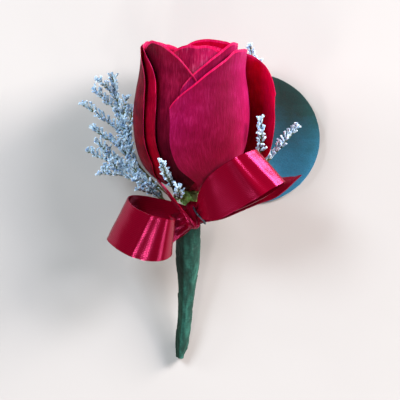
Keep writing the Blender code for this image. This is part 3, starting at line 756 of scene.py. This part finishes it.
def leafPlace(u, v):
    across = u * sqrt(1 - v * v / 2) * leaf["length"] / 2
    along = v * sqrt(1 - u * u / 2) * leaf["width"] / 2
    curl = leaf["curl"] * smoothStep((across / (leaf["length"] / 2) - 0.15) / 0.85)
    onRib, offRib = leafSpot(across, along)
    # a shallow groove on the midrib, and side veins that curve towards the rim
    relief = -1.2 * bell(offRib, 0, 0.55) * smoothStep((20 - onRib) / 12)
    fan = (onRib - abs(offRib) * 0.85) / (44 / leaf["sideVeins"])
    relief -= 0.5 * bell(fan - round(fan), 0, 0.09) * smoothStep(abs(offRib) / 3)
    rise = leaf["relief"] * relief
    wave = 0.25 * noise.noise(Vector((across * 0.07, along * 0.07, 2)))
    rim = max(abs(u), abs(v)) ** 4
    return Vector(leaf["middle"]) + Vector(
        (across, along, curl + leaf["thickness"] / 2 + rise + wave * rim + 0.12 * rim)
    )


def leafThickness(u, v):
    rim = max(abs(u), abs(v)) ** 8
    thick, thin = leaf["thickness"], leaf["rimThickness"]
    return thick + (thin - thick) * rim - 0.12 * (1 - rim)


# Silver dollar eucalyptus leaf, a tough blade under a bloom of wax. The wax turns it grey
# blue and hides the shine, and thinner patches show the green.
def eucalyptusFinish():
    made, add = newMaterial("eucalyptusWaxBloom")
    place = add("TexCoord", {}).outputs["Object"]
    parts = add("SeparateXYZ", {"Vector": place})
    # painted reflection: the leaf is bluer and brighter towards low Y, as if it catches bluish
    # light, and darker and greener towards high Y: 40 mm from bluest to greenest
    paintedSkyReflection = add("MapRange", {
        "From Min": -0.004, "From Max": 0.036, "To Min": 1.0, "To Max": 0.0,
        "Value": parts.outputs["Y"],
    })
    blotches = add("TexNoise", {"Scale": 140, "Detail": 4, "Roughness": 0.6, "Vector": place})
    share = add("Math", {"operation": "MULTIPLY_ADD", 1: 0.45, 0: blotches, 2: paintedSkyReflection})
    stops = [(0.15, "#1a3830"), (0.4, "#1e4846"), (0.7, "#27687f"), (0.95, "#347fa2")]
    colour = add("ValToRGB", {"stops": stops, "Fac": share})
    # wax rubbed thin in specks 0.4 mm wide
    specks = add("TexNoise", {"Scale": 2400, "Detail": 2, "Vector": place})
    speckled = add("MixRGB", {
        "blend_type": "OVERLAY", "Fac": 0.35, "Color1": colour, "Color2": specks,
    })
    bump = add("Bump", {"Strength": 0.35, "Distance": 0.0001, "Height": specks})
    surface = add("BsdfPrincipled", {
        "Metallic": 0.0, "IOR": 1.45, "Roughness": 0.48, "Specular IOR Level": 0.45,
        "Sheen Weight": 0.15, "Sheen Roughness": 0.5, "Sheen Tint": "#a8d4e6",
        "Base Color": speckled, "Normal": bump,
    })
    add("OutputMaterial", {"Surface": surface})
    return made


twigGreen = freshGreenFinish("dryTwigBark", ("#3c3a22", "#565a34", "#75764a"), 0.7)
build = Build()
wide, far = leaf["mapReach"]
addSheet(build, *leaf["grid"], leafPlace, leafThickness, lambda u, v: (u * wide, v * far))
stalkEnd = (
    (3.0, 2.6, 8.2), (5.2, 6.5, 3.6), (7.6, 10.4, 0.9), (11.5, 15.6, 0.66), (19.5, 24.6, 0.5),
)
stalkSteps = leaf["stalkSteps"]
stalkStart = bundleRoute(radians(leaf["stalkAngle"]), leaf["stalkDepth"])
stalkRoute = [*stalkStart, *(Vector(p) for p in stalkEnd)]
# it sinks into the blade
radii = [0.5 - 0.4 * smoothStep((share - 0.6) / 0.4) for share in evenSteps(0, 1, stalkSteps)]
addTube(build, routeLine(stalkRoute, stalkSteps), radii, leaf["stalkSides"], finish=1)
build.finished(
    "silverDollarLeaf", (eucalyptusFinish(), twigGreen), "eucalyptus_leaf"
)
print("eucalyptus leaf")


# The sea lavender

# A spray has its angle in the bundle, where its flowers begin, its stem's route from the
# tape's mouth, and branches that leave the stem at a share of the way along.
sprays = {
    "upper_left": (215, 0.6, (
        (-5.6, 5, 8.4), (-11.8, 10.6, 6.4), (-17.2, 17, 6.4), (-20.6, 25, 8.2), (-22.8, 34, 10.8),
        (-24.8, 44.2, 12.6),
    ), (
        (0.62, 0.12, (-31, 27.6, 9.8)), (0.69, 0.12, (-18.6, 34, 12.4)),
        (0.72, 0.12, (-34, 35.4, 12.2)), (0.79, 0.12, (-20.4, 37, 14.6)),
        (0.82, 0.12, (-30.2, 39.8, 14.8)), (0.91, 0.12, (-29, 42.6, 15.8)),
    )),
    "middle_left": (250, 0.6, (
        (-7.6, 3.4, 11.2), (-13.8, 9, 9.6), (-19.6, 14, 9.6), (-25.6, 17.2, 10.8),
        (-32, 20.2, 12),
    ), (
        (0.58, 0.12, (-22.4, 22.6, 13.4)), (0.71, 0.12, (-29.2, 23.2, 14.6)),
        (0.76, 0.12, (-27, 14.8, 12.8)),
    )),
    "lower_left": (285, 0.55, (
        (-7.4, 3.7, 14.2), (-12.6, 8.6, 14.2), (-18, 11.6, 14.6), (-23, 13, 15.4),
        (-28.2, 13.4, 16.4),
    ), (
        (0.52, 0.12, (-16.2, 8.2, 17.2)), (0.64, 0.12, (-18.4, 16.4, 17.6)),
        (0.8, 0.12, (-24.8, 16.6, 18.2)),
        (0.54, 0.42, (-9.4, 7.4, 18.2), (-12.8, 9.8, 20.2), (-16.6, 11.4, 21.2)),
    )),
    "front_left": (325, 0.67, (
        (-4.6, 4.4, 17.3), (-4.9, 7, 19.8), (-5.9, 9.6, 24.8), (-7.6, 12.8, 30.6),
        (-8.8, 16.4, 35.2),
    ), (
        (0.525, 0.35, (-3.4, 5.4, 22.2), (-3.8, 8.8, 28.6)),
    )),
    "top_right": (180, 0.84, (
        (2.2, 5, 9), (7.8, 10, 5.6), (13.6, 18, 3.6), (19.6, 29, 3.8), (22, 40, 8.6),
        (19.2, 53.6, 15),
    ), (
        (0.88, 0.12, (22.4, 48.6, 13)),
    )),
    "right": (100, 0.74, (
        (6.8, 1.8, 12), (12.8, 6.4, 12), (19, 12, 12.4), (25.2, 17.6, 13.2), (29.6, 22.8, 14),
        (34, 27.8, 13.2),
    ), (
        (
            0.49, 0.66, (12.4, 7.9, 14.6), (16, 11.8, 18.2), (20.4, 16, 21.2), (22.8, 22.4, 24.4),
            (22.4, 30, 27.6),
        ),
    )),
}
floret = {
    "twigletSpacing": 0.8,
    "twigletLength": (0.8, 1.9),
    "floretSpacing": 0.5,
    "size": (0.82, 1.12),
    "lean": (-0.15, 0.9, 0.45),  # the flowers turn to the light as they open
    "twigRadius": 0.5,
    "branchRadius": 0.3,
    "stemSteps": 66,
    "stemSides": 8,
    "branchSteps": 6,  # for each bend of a branch
    "branchSides": 6,
    "twigletSides": 4,
    "tipFlorets": 3,
    "throatFrom": 4,  # the ring from which the tube is its lilac throat
    "bundleDepth": 13,  # how far down the tape the twigs reach
    "seed": 11,
}

# Rings of one floret, as height and radius: a bract cup, then the papery tube and its rim
bractRings = ((0.0, 0.10), (0.2, 0.24), (0.45, 0.25), (0.7, 0.16))
paperRings = ((0.3, 0.15), (0.85, 0.25), (1.5, 0.31), (2.1, 0.38), (2.05, 0.24), (1.6, 0.06))


def addFloret(build, root, direction, size, draw):
    aside = direction.orthogonal().normalized()
    turn = draw.uniform(0, tau)
    other = direction.cross(aside)
    first = aside * cos(turn) + other * sin(turn)
    second = direction.cross(first)
    bend = aside * draw.uniform(-0.12, 0.12)
    for rings, sides, finish in ((bractRings, 4, 1), (paperRings, 5, 2)):
        corners, maps = [], []
        for k, (height, radius) in enumerate(rings):
            for i in range(sides):
                angle = tau * i / sides
                frill = 1 + (0.22 * cos(angle * 2.5 + turn) if k == 3 else 0)
                out = (first * cos(angle) + second * sin(angle)) * radius * frill
                corners.append(root + (direction * height + bend * height * height + out) * size)
                maps.append((i / sides, height))
        faces = tubeFaces(len(rings), sides)
        colours = [finish] * len(faces)
        if finish == 2:
            throat = floret["throatFrom"] * sides
            colours[throat:] = [3] * (len(faces) - throat)
        build.add(corners, faces, maps, colours)


def lineWalk(line, start, spacing, draw):
    lengths = [(after - before).length for before, after in zip(line, line[1:])]
    whole = sum(lengths)
    place = whole * start
    while place < whole:
        left, i = place, 0
        while i < len(lengths) - 1 and left > lengths[i]:
            left -= lengths[i]
            i += 1
        ahead = (line[i + 1] - line[i]).normalized()
        yield line[i].lerp(line[i + 1], min(left / lengths[i], 1)), ahead, place / whole
        place += spacing * draw.uniform(0.75, 1.25)


# Short twiglets stand out from a branch in two ranks, and each has a comb of florets
def addFlowers(build, line, start, draw):
    side = 1
    for here, ahead, share in lineWalk(line, start, floret["twigletSpacing"], draw):
        side = -side
        up = (Vector((0, 0, 1)) - ahead * ahead.z).normalized()
        rank = ahead.cross(up) * side
        out = (rank * draw.uniform(0.35, 1.0) + up * draw.uniform(-0.35, 0.9)).normalized()
        lean = draw.uniform(0.45, 0.8)
        reach = draw.uniform(*floret["twigletLength"]) * (1 - 0.45 * share)
        heading = ahead * cos(lean) + out * sin(lean)
        tip = here + heading * reach
        sides = floret["twigletSides"]
        addTube(build, [here, here.lerp(tip, 0.5), tip], [0.16, 0.14, 0.1], sides)
        count = max(2, round(reach / floret["floretSpacing"]))
        for k in range(count + 1):
            root = here.lerp(tip, (k + 0.4) / (count + 0.4))
            spread = up * draw.uniform(-0.1, 0.4) + rank * draw.uniform(-0.15, 0.35)
            lean = Vector(floret["lean"]) * draw.uniform(0.6, 1.0)
            direction = (heading * 0.5 + lean + spread).normalized()
            addFloret(build, root, direction, draw.uniform(*floret["size"]), draw)
    ahead = (line[-1] - line[-2]).normalized()
    for _ in range(floret["tipFlorets"]):
        spread = Vector((draw.uniform(-1, 1), draw.uniform(-1, 1), draw.uniform(-1, 1))) * 0.35
        addFloret(build, line[-1] - ahead * 0.3, (ahead + spread).normalized(), 0.9, draw)


def branchRoute(route, leaves, ends):
    root = routePoint(route, leaves)
    if len(ends) > 1:
        return [root, *ends]
    tip = ends[0]
    ahead = (routePoint(route, leaves + 0.05) - root).normalized()
    bend = root + ahead * (tip - root).length * 0.35
    return [root, bend.lerp(root.lerp(tip, 0.5), 0.4), tip]


# Sea lavender calyx, a dry membrane like thin paper. It is white with a lilac cast, lets
# light through and has no shine. Its colour drifts over 1 mm, half the length of a flower.
def paperyFinish(name, colours, glow):
    made, add = newMaterial(name)
    place = add("TexCoord", {}).outputs["Object"]
    clouds = add("TexNoise", {"Scale": 900, "Detail": 3, "Vector": place})
    colour = add("ValToRGB", {"stops": list(zip((0.32, 0.5, 0.68), colours)), "Fac": clouds})
    # ribs of the membrane, 0.2 mm apart
    ribs = add("TexNoise", {"Scale": 4500, "Detail": 1, "Vector": place})
    bump = add("Bump", {"Strength": 0.3, "Distance": 0.0001, "Height": ribs})
    surface = add("BsdfPrincipled", {
        "Metallic": 0.0, "IOR": 1.4, "Roughness": 0.75, "Specular IOR Level": 0.3,
        "Subsurface Weight": glow, "Subsurface Radius": (1.0, 1.0, 1.0),
        "Subsurface Scale": 0.0006, "Base Color": colour, "Normal": bump,
    })
    add("OutputMaterial", {"Surface": surface})
    return made


bractSkin = paperyFinish("driedBract", ("#2c241c", "#50603e", "#8ca078"), 0.03)
calyxPaper = paperyFinish("paperyCalyx", ("#8aaed0", "#cae8f8", "#f0fcff"), 0.08)
throatPaper = paperyFinish("lilacThroat", ("#8c98d4", "#b4caf0", "#deeefc"), 0.08)

thick, thin = floret["twigRadius"], floret["branchRadius"]
for seed, (name, (angle, start, points, branches)) in enumerate(sprays.items()):
    draw = random.Random(seed + floret["seed"])
    build = Build()
    hidden = bundleRoute(radians(angle), floret["bundleDepth"])
    route = [*hidden, *(Vector(p) for p in points)]
    line = routeLine(route, floret["stemSteps"])
    addTube(build, line, evenSteps(thick, thin, len(line) - 1), floret["stemSides"])
    addFlowers(build, line, start, draw)
    for leaves, begins, *ends in branches:
        bends = branchRoute(route, leaves, [Vector(p) for p in ends])
        line = routeLine(bends, floret["branchSteps"] * len(bends))
        radii = evenSteps(thin, thin * 0.6, len(line) - 1)
        addTube(build, line, radii, floret["branchSides"])
        addFlowers(build, line, begins, draw)
    build.finished(
        "seaLavender" + "".join(word.capitalize() for word in name.split("_")),
        (twigGreen, bractSkin, calyxPaper, throatPaper), "sea_lavender_" + name,
    )
print("sea lavender sprays:", len(sprays))


# The ribbon bow

# The ribbon's two edges, in pairs, along each stretch of the bow from the knot outwards
stretches = {
    "leftLoop": (
        ((1.6, 1.8, 18.9), (2, -2.8, 18.6)), ((-4, 3.9, 18.6), (-3.6, -7.6, 15.8)),
        ((-9.5, 5.1, 18), (-10, -10.4, 12.4)), ((-14.5, 6.1, 18.4), (-18, -9.2, 11.2)),
        ((-18.4, 6.3, 20.4), (-24, -7.6, 12.4)), ((-19.9, 5.2, 23.6), (-26.6, -7.6, 15.6)),
        ((-18.4, 2.9, 27.2), (-25, -9.6, 19.6)), ((-14.6, 0.8, 29.6), (-20.4, -12.6, 22.6)),
        ((-9.8, -0.9, 30.8), (-14.2, -14.6, 23.8)), ((-6.2, -1.6, 29.8), (-8.6, -14.5, 23)),
        ((-4.8, -1.4, 26.6), (-5.9, -12.8, 20.2)), ((-6.4, -0.2, 24), (-6.6, -10.6, 18.2)),
        ((-4, 0.8, 21.9), (-3.9, -7.4, 18.6)), ((1.2, 1.2, 20.6), (1.4, -3, 20.2)),
    ),
    "rightLoop": (
        ((1.6, 2, 20.4), (2.2, -1.8, 20.4)), ((2.6, 6.6, 26.4), (4.2, -1.4, 23.6)),
        ((5.6, 12, 30.8), (8.4, -1.7, 26.6)), ((10, 15.6, 32.8), (14.6, 1.4, 29.9)),
        ((13.4, 17.8, 33.3), (20.4, 4.8, 31.9)), ((15.4, 18.9, 33.5), (24.4, 7.3, 32.4)),
        ((17.6, 19.7, 33.2), (27.2, 9, 32.2)), ((19.4, 20.4, 32), (28.9, 9.9, 31)),
        ((20.8, 20.9, 30.5), (30.1, 10.6, 29.6)), ((21, 20.7, 28.6), (30.3, 10.4, 27.6)),
        ((19.2, 18.8, 26), (29.2, 9.3, 26.4)), ((15.4, 13.8, 21.8), (23.8, 5.6, 25)),
        ((10, 7.6, 19.9), (15.4, 1.6, 23.2)), ((5.2, 3.4, 18.9), (7.6, -0.8, 21.2)),
        ((1.6, 1.8, 18.6), (2.2, -1.8, 18.9)),
    ),
    "leftTail": (
        ((0.7, -4.1, 20.6), (1.9, -3.3, 23)), ((-1.6, -0.9, 21.6), (-0.9, -0.2, 25.4)),
        ((-4.8, 3.1, 21.8), (-4.1, 3.7, 27.4)), ((-7.6, 6.9, 23), (-6.9, 7.4, 28.8)),
        ((-10.5, 11.2, 25.8), (-10.3, 11.3, 28.6)),
    ),
    "rightTail": (
        ((2, 0.8, 18.4), (2.2, -2.4, 18.2)), ((9, 5, 15.4), (9.8, -1.4, 19.6)),
        ((18, 9.2, 15.2), (19, 2.4, 21.2)), ((26.6, 11.6, 16.6), (27.8, 6, 22.9)),
        ((33.4, 12.2, 20), (35.6, 12.8, 22.6)),
    ),
}
ribbon = {
    "width": 0.016,
    "length": 0.185,
    "thickness": 0.26,
    "selvedge": 0.5,  # how much thicker its woven edges are
    "selvedgeFrom": 0.93,
    "steps": {"leftLoop": 200, "rightLoop": 180, "leftTail": 60, "rightTail": 90},
    "columns": 30,
    # soft creases: share along the stretch, slant, width as a share and height in mm
    "creases": {
        "leftLoop": (
            (0.562, -0.008, 0.013, 0.26), (0.665, -0.004, 0.04, 0.1), (0.50, 0, 0.03, 0.12),
        ),
        "rightLoop": ((0.309, 0.02, 0.038, 0.92),),
        "leftTail": (),
        "rightTail": ((0.6, 0, 0.05, 0.2),),
    },
    "pleats": 3,
    "pleatDepth": 0.75,
    "pleatReach": {"leftLoop": 0.10, "rightLoop": 0.10, "leftTail": 0.5, "rightTail": 0.25},
}


def ribbonPlace(name, stretch):
    first = [Vector(pair[0]) for pair in stretch]
    second = [Vector(pair[1]) for pair in stretch]
    closed = name.endswith("Loop")

    def flat(u, share):
        return routePoint(first, share).lerp(routePoint(second, share), (u + 1) / 2)

    def place(u, v):
        share = (v + 1) / 2
        here = flat(u, share)
        ahead = flat(u, min(share + 0.01, 1)) - flat(u, max(share - 0.01, 0))
        across = flat(1, share) - flat(-1, share)
        normal = across.cross(ahead).normalized()
        fromKnot = min(share, 1 - share) if closed else share
        near = 1 - smoothStep(fromKnot / ribbon["pleatReach"][name])
        fold = sin(u * pi * ribbon["pleats"] + 0.6)
        rise = ribbon["pleatDepth"] * near * fold * (1 - 0.4 * abs(u))
        for middle, slant, width, height in ribbon["creases"][name]:
            rise += height * bell(share, middle + slant * u, width)
        # woven cloth lies in faint long swells, and its edge is drawn a little tight
        rise += 0.10 * noise.noise(Vector((u * 1.3, share * 9, 5 if closed else 8)))
        rise -= 0.10 * abs(u) ** 6
        return here + normal * rise

    return place


# Double-faced satin ribbon, woven from bright polyester thread. Long floats on its face
# give streaks of shine across the bends, the colour of the thread and not white.
def satinFinish():
    made, add = newMaterial("wovenPolyesterSatin")
    spots = add("UVMap", {"uv_map": "strip"})
    turned = add("Tangent", {"direction_type": "UV_MAP", "uv_map": "strip"})
    # warp threads are 0.1 mm apart, drawn at 0.6 mm so that they show
    warp = add("TexWave", {
        "wave_type": "BANDS", "bands_direction": "X", "Scale": 0.52, "Distortion": 0.6,
        "Detail": 2, "Detail Scale": 2.0, "Vector": spots,
    }).outputs["Fac"]
    # floats end in a slanted pattern of dots, drawn at 0.7 mm
    slanted = add("Mapping", {
        "Rotation": (0, 0, 0.785), "Scale": (1.45, 1.45, 1), "Vector": spots,
    })
    dots = add("TexVoronoi", {"Scale": 1.0, "Randomness": 0.0, "Vector": slanted})
    colour = add("ValToRGB", {"stops": [(0.0, "#6c0016"), (1.0, "#7c021c")], "Fac": warp})
    gloss = add("MapRange", {"To Min": 0.21, "To Max": 0.25, "Value": warp})
    weave = add("Math", {"operation": "MULTIPLY_ADD", 1: 0.07, 0: warp, 2: dots})
    bump = add("Bump", {"Strength": 0.3, "Distance": 0.0001, "Height": weave})
    surface = add("BsdfPrincipled", {
        "Metallic": 0.0, "IOR": 1.57, "Anisotropic": 0.65, "Specular IOR Level": 1.0,
        "Specular Tint": "#ff4492", "Sheen Weight": 0.03, "Sheen Roughness": 0.4,
        "Sheen Tint": "#ff3d86", "Base Color": colour, "Roughness": gloss, "Tangent": turned,
        "Normal": bump,
    })
    add("OutputMaterial", {"Surface": surface})
    return made


build = Build()
totalLength = 0.0
halfWidth = ribbon["width"] / mm / 2


def ribbonThickness(u, v):
    atEdge = abs(u) > ribbon["selvedgeFrom"]
    return ribbon["thickness"] * (1 + ribbon["selvedge"] * atEdge)


for name, stretch in stretches.items():
    middles = [(Vector(a) + Vector(b)) / 2 for a, b in stretch]
    stretchLength = sum((b - a).length for a, b in zip(middles, middles[1:]))
    totalLength += stretchLength
    addSheet(
        build, ribbon["columns"], ribbon["steps"][name], ribbonPlace(name, stretch),
        ribbonThickness, lambda u, v, far=stretchLength: (u * halfWidth, v * far / 2),
    )

# The waist is wrapped by a turn of the same ribbon, pulled into hard pleats
waist = {
    "outline": (
        (-4.5, 1.0), (-3.9, 1.9), (-3.0, 2.45), (-0.6, 2.75), (1.6, 2.8), (3.2, 2.5), (4.3, 1.4)
    ),
    "middle": (1.2, 19.8),
    "slant": 0.1,
    "rings": 46,
    "sides": 96,
}
outline = waist["outline"]
alongs = evenSteps(outline[0][0], outline[-1][0], waist["rings"])
across, height = waist["middle"]


def waistFold(angle, travelled):
    bend = angle * 7 + 0.9 * sin(angle * 2) + travelled * 0.55
    fold = abs(sin(bend / 2)) ** 0.7
    return 0.84 + 0.2 * fold + 0.05 * sin(angle * 3 + travelled)


addTube(
    build, [Vector((across + waist["slant"] * along, along, height)) for along in alongs],
    [smoothValue(outline, along) for along in alongs], waist["sides"], ripple=waistFold,
)
bow = build.finished("satinRibbonBow", (satinFinish(),), "ribbon_bow", sharp=60)
print("ribbon bow, about", round(totalLength), "mm of ribbon")


# The wire


# Florist's wire, thin steel under a blue grey lacquer. It is smooth, with a narrow shine
# along each strand and paler patches where the lacquer is rubbed.
def wireFinish():
    made, add = newMaterial("lacqueredFloristWire")
    place = add("TexCoord", {}).outputs["Object"]
    rubbed = add("TexNoise", {"Scale": 900, "Detail": 3, "Vector": place})
    stops = [(0.35, "#2c3844"), (0.6, "#4d5f70"), (0.75, "#8496a3")]
    colour = add("ValToRGB", {"stops": stops, "Fac": rubbed})
    surface = add("BsdfPrincipled", {
        "Metallic": 0.6, "Roughness": 0.38, "Coat Weight": 0.4, "Coat Roughness": 0.25,
        "Base Color": colour,
    })
    add("OutputMaterial", {"Surface": surface})
    return made


build = Build()
line = wireLine(wire["steps"])
radius = wire["strandRadius"]
for strand in range(2):
    points, travelled = [], 0.0
    for k, point in enumerate(line):
        before, after = line[k - 1], line[(k + 1) % len(line)]
        ahead = (after - before).normalized()
        side = ahead.cross(Vector((0.3, 0.5, 0.8))).normalized()
        over = ahead.cross(side)
        angle = tau * travelled / wire["twistPitch"] + strand * pi
        offset = side * cos(angle) + over * sin(angle)
        points.append(point + offset * radius * 0.8)
        travelled += (after - point).length
    radii = [radius] * (len(points) + 1)
    addTube(build, [*points, points[0]], radii, wire["sides"])
build.finished("twistedFloristWire", (wireFinish(),), "bow_wire")
print("wire")


# The table it lies on

card = {"reach": 6.0, "colours": ("#b9b6b2", "#bcb9b5")}


# Matt card, pressed from paper pulp: pale and even, with only a faint cloudiness.
def cardFinish():
    made, add = newMaterial("pressedCard")
    place = add("TexCoord", {}).outputs["Object"]
    clouds = add("TexNoise", {"Scale": 18, "Detail": 3, "Vector": place})
    stops = list(zip((0.3, 0.7), card["colours"]))
    colour = add("ValToRGB", {"stops": stops, "Fac": clouds})
    surface = add("BsdfPrincipled", {
        "Metallic": 0.0, "IOR": 1.45, "Roughness": 0.85, "Base Color": colour,
    })
    add("OutputMaterial", {"Surface": surface})
    return made


reach = card["reach"]
corners = [(-reach, -reach, 0), (reach, -reach, 0), (reach, reach, 0), (-reach, reach, 0)]
floorMesh = bpy.data.meshes.new("table")
floorMesh.from_pydata(corners, [], [(0, 1, 2, 3)])
floorMesh.materials.append(cardFinish())
addObject("table", floorMesh)
print("table")


# Light and camera

lights = {
    # place in metres, width and height, power and colour
    "rightSoftbox": ((1.36, 0.78, 0.6), (0.6, 0.8), 56, "#fff4f0"),
    "farStrip": ((1.0, 0.85, 0.95), (0.5, 0.3), 16, "#f6f4ff"),
    "nearStrip": ((-0.5, -1.3, 0.75), (0.14, 0.4), 8, "#fff8f6"),
    "nearSide": ((0.6, -1.25, 0.6), (0.2, 0.4), 3.4, "#fff8f6"),
    "leftFill": ((-0.85, 0.8, 1.2), (0.6, 0.6), 24, "#e8f4ff"),
    "leftLow": ((-1.2, 0.5, 0.42), (0.5, 0.4), 8, "#f0f8ff"),
}
glossless = ("leftFill", "leftLow")  # lift the shadows and leave no shine of their own
skyLight = {"colour": "#dfe6ee", "strength": 0.1}

for name, (place, (width, height), power, colour) in lights.items():
    lamp = bpy.data.lights.new(name, "AREA")
    lamp.shape = "RECTANGLE"
    lamp.size, lamp.size_y = width, height
    lamp.energy = power
    lamp.color = linearColour(colour)[:3]
    holder = addObject(name, lamp)
    holder.location = place
    holder.rotation_euler = (-Vector(place)).to_track_quat("-Z", "Y").to_euler()
    holder.visible_camera = False
    holder.visible_glossy = name not in glossless

sky = bpy.data.worlds.new("studio")
sky.use_nodes = True
bpy.context.scene.world = sky
backdrop = sky.node_tree.nodes["Background"]
backdrop.inputs["Color"].default_value = linearColour(skyLight["colour"])
backdrop.inputs["Strength"].default_value = skyLight["strength"]

view = {
    "middle": (0.25, -0.31, 18),  # mm, the middle of the view
    "height": 3.0,
    "viewWidth": 0.128,
    "sensorWidth": 36,
}
across, along, depth = (value * mm for value in view["middle"])
camera = bpy.data.cameras.new("overhead")
camera.sensor_width = view["sensorWidth"]
away = view["height"] - depth
camera.lens = camera.sensor_width * away / view["viewWidth"]
camera.clip_start, camera.clip_end = 0.1, 20
stand = addObject("overhead", camera)
stand.location = (across, along, view["height"])
bpy.context.scene.camera = stand
bpy.context.scene.view_settings.view_transform = "Standard"
print("light and camera")
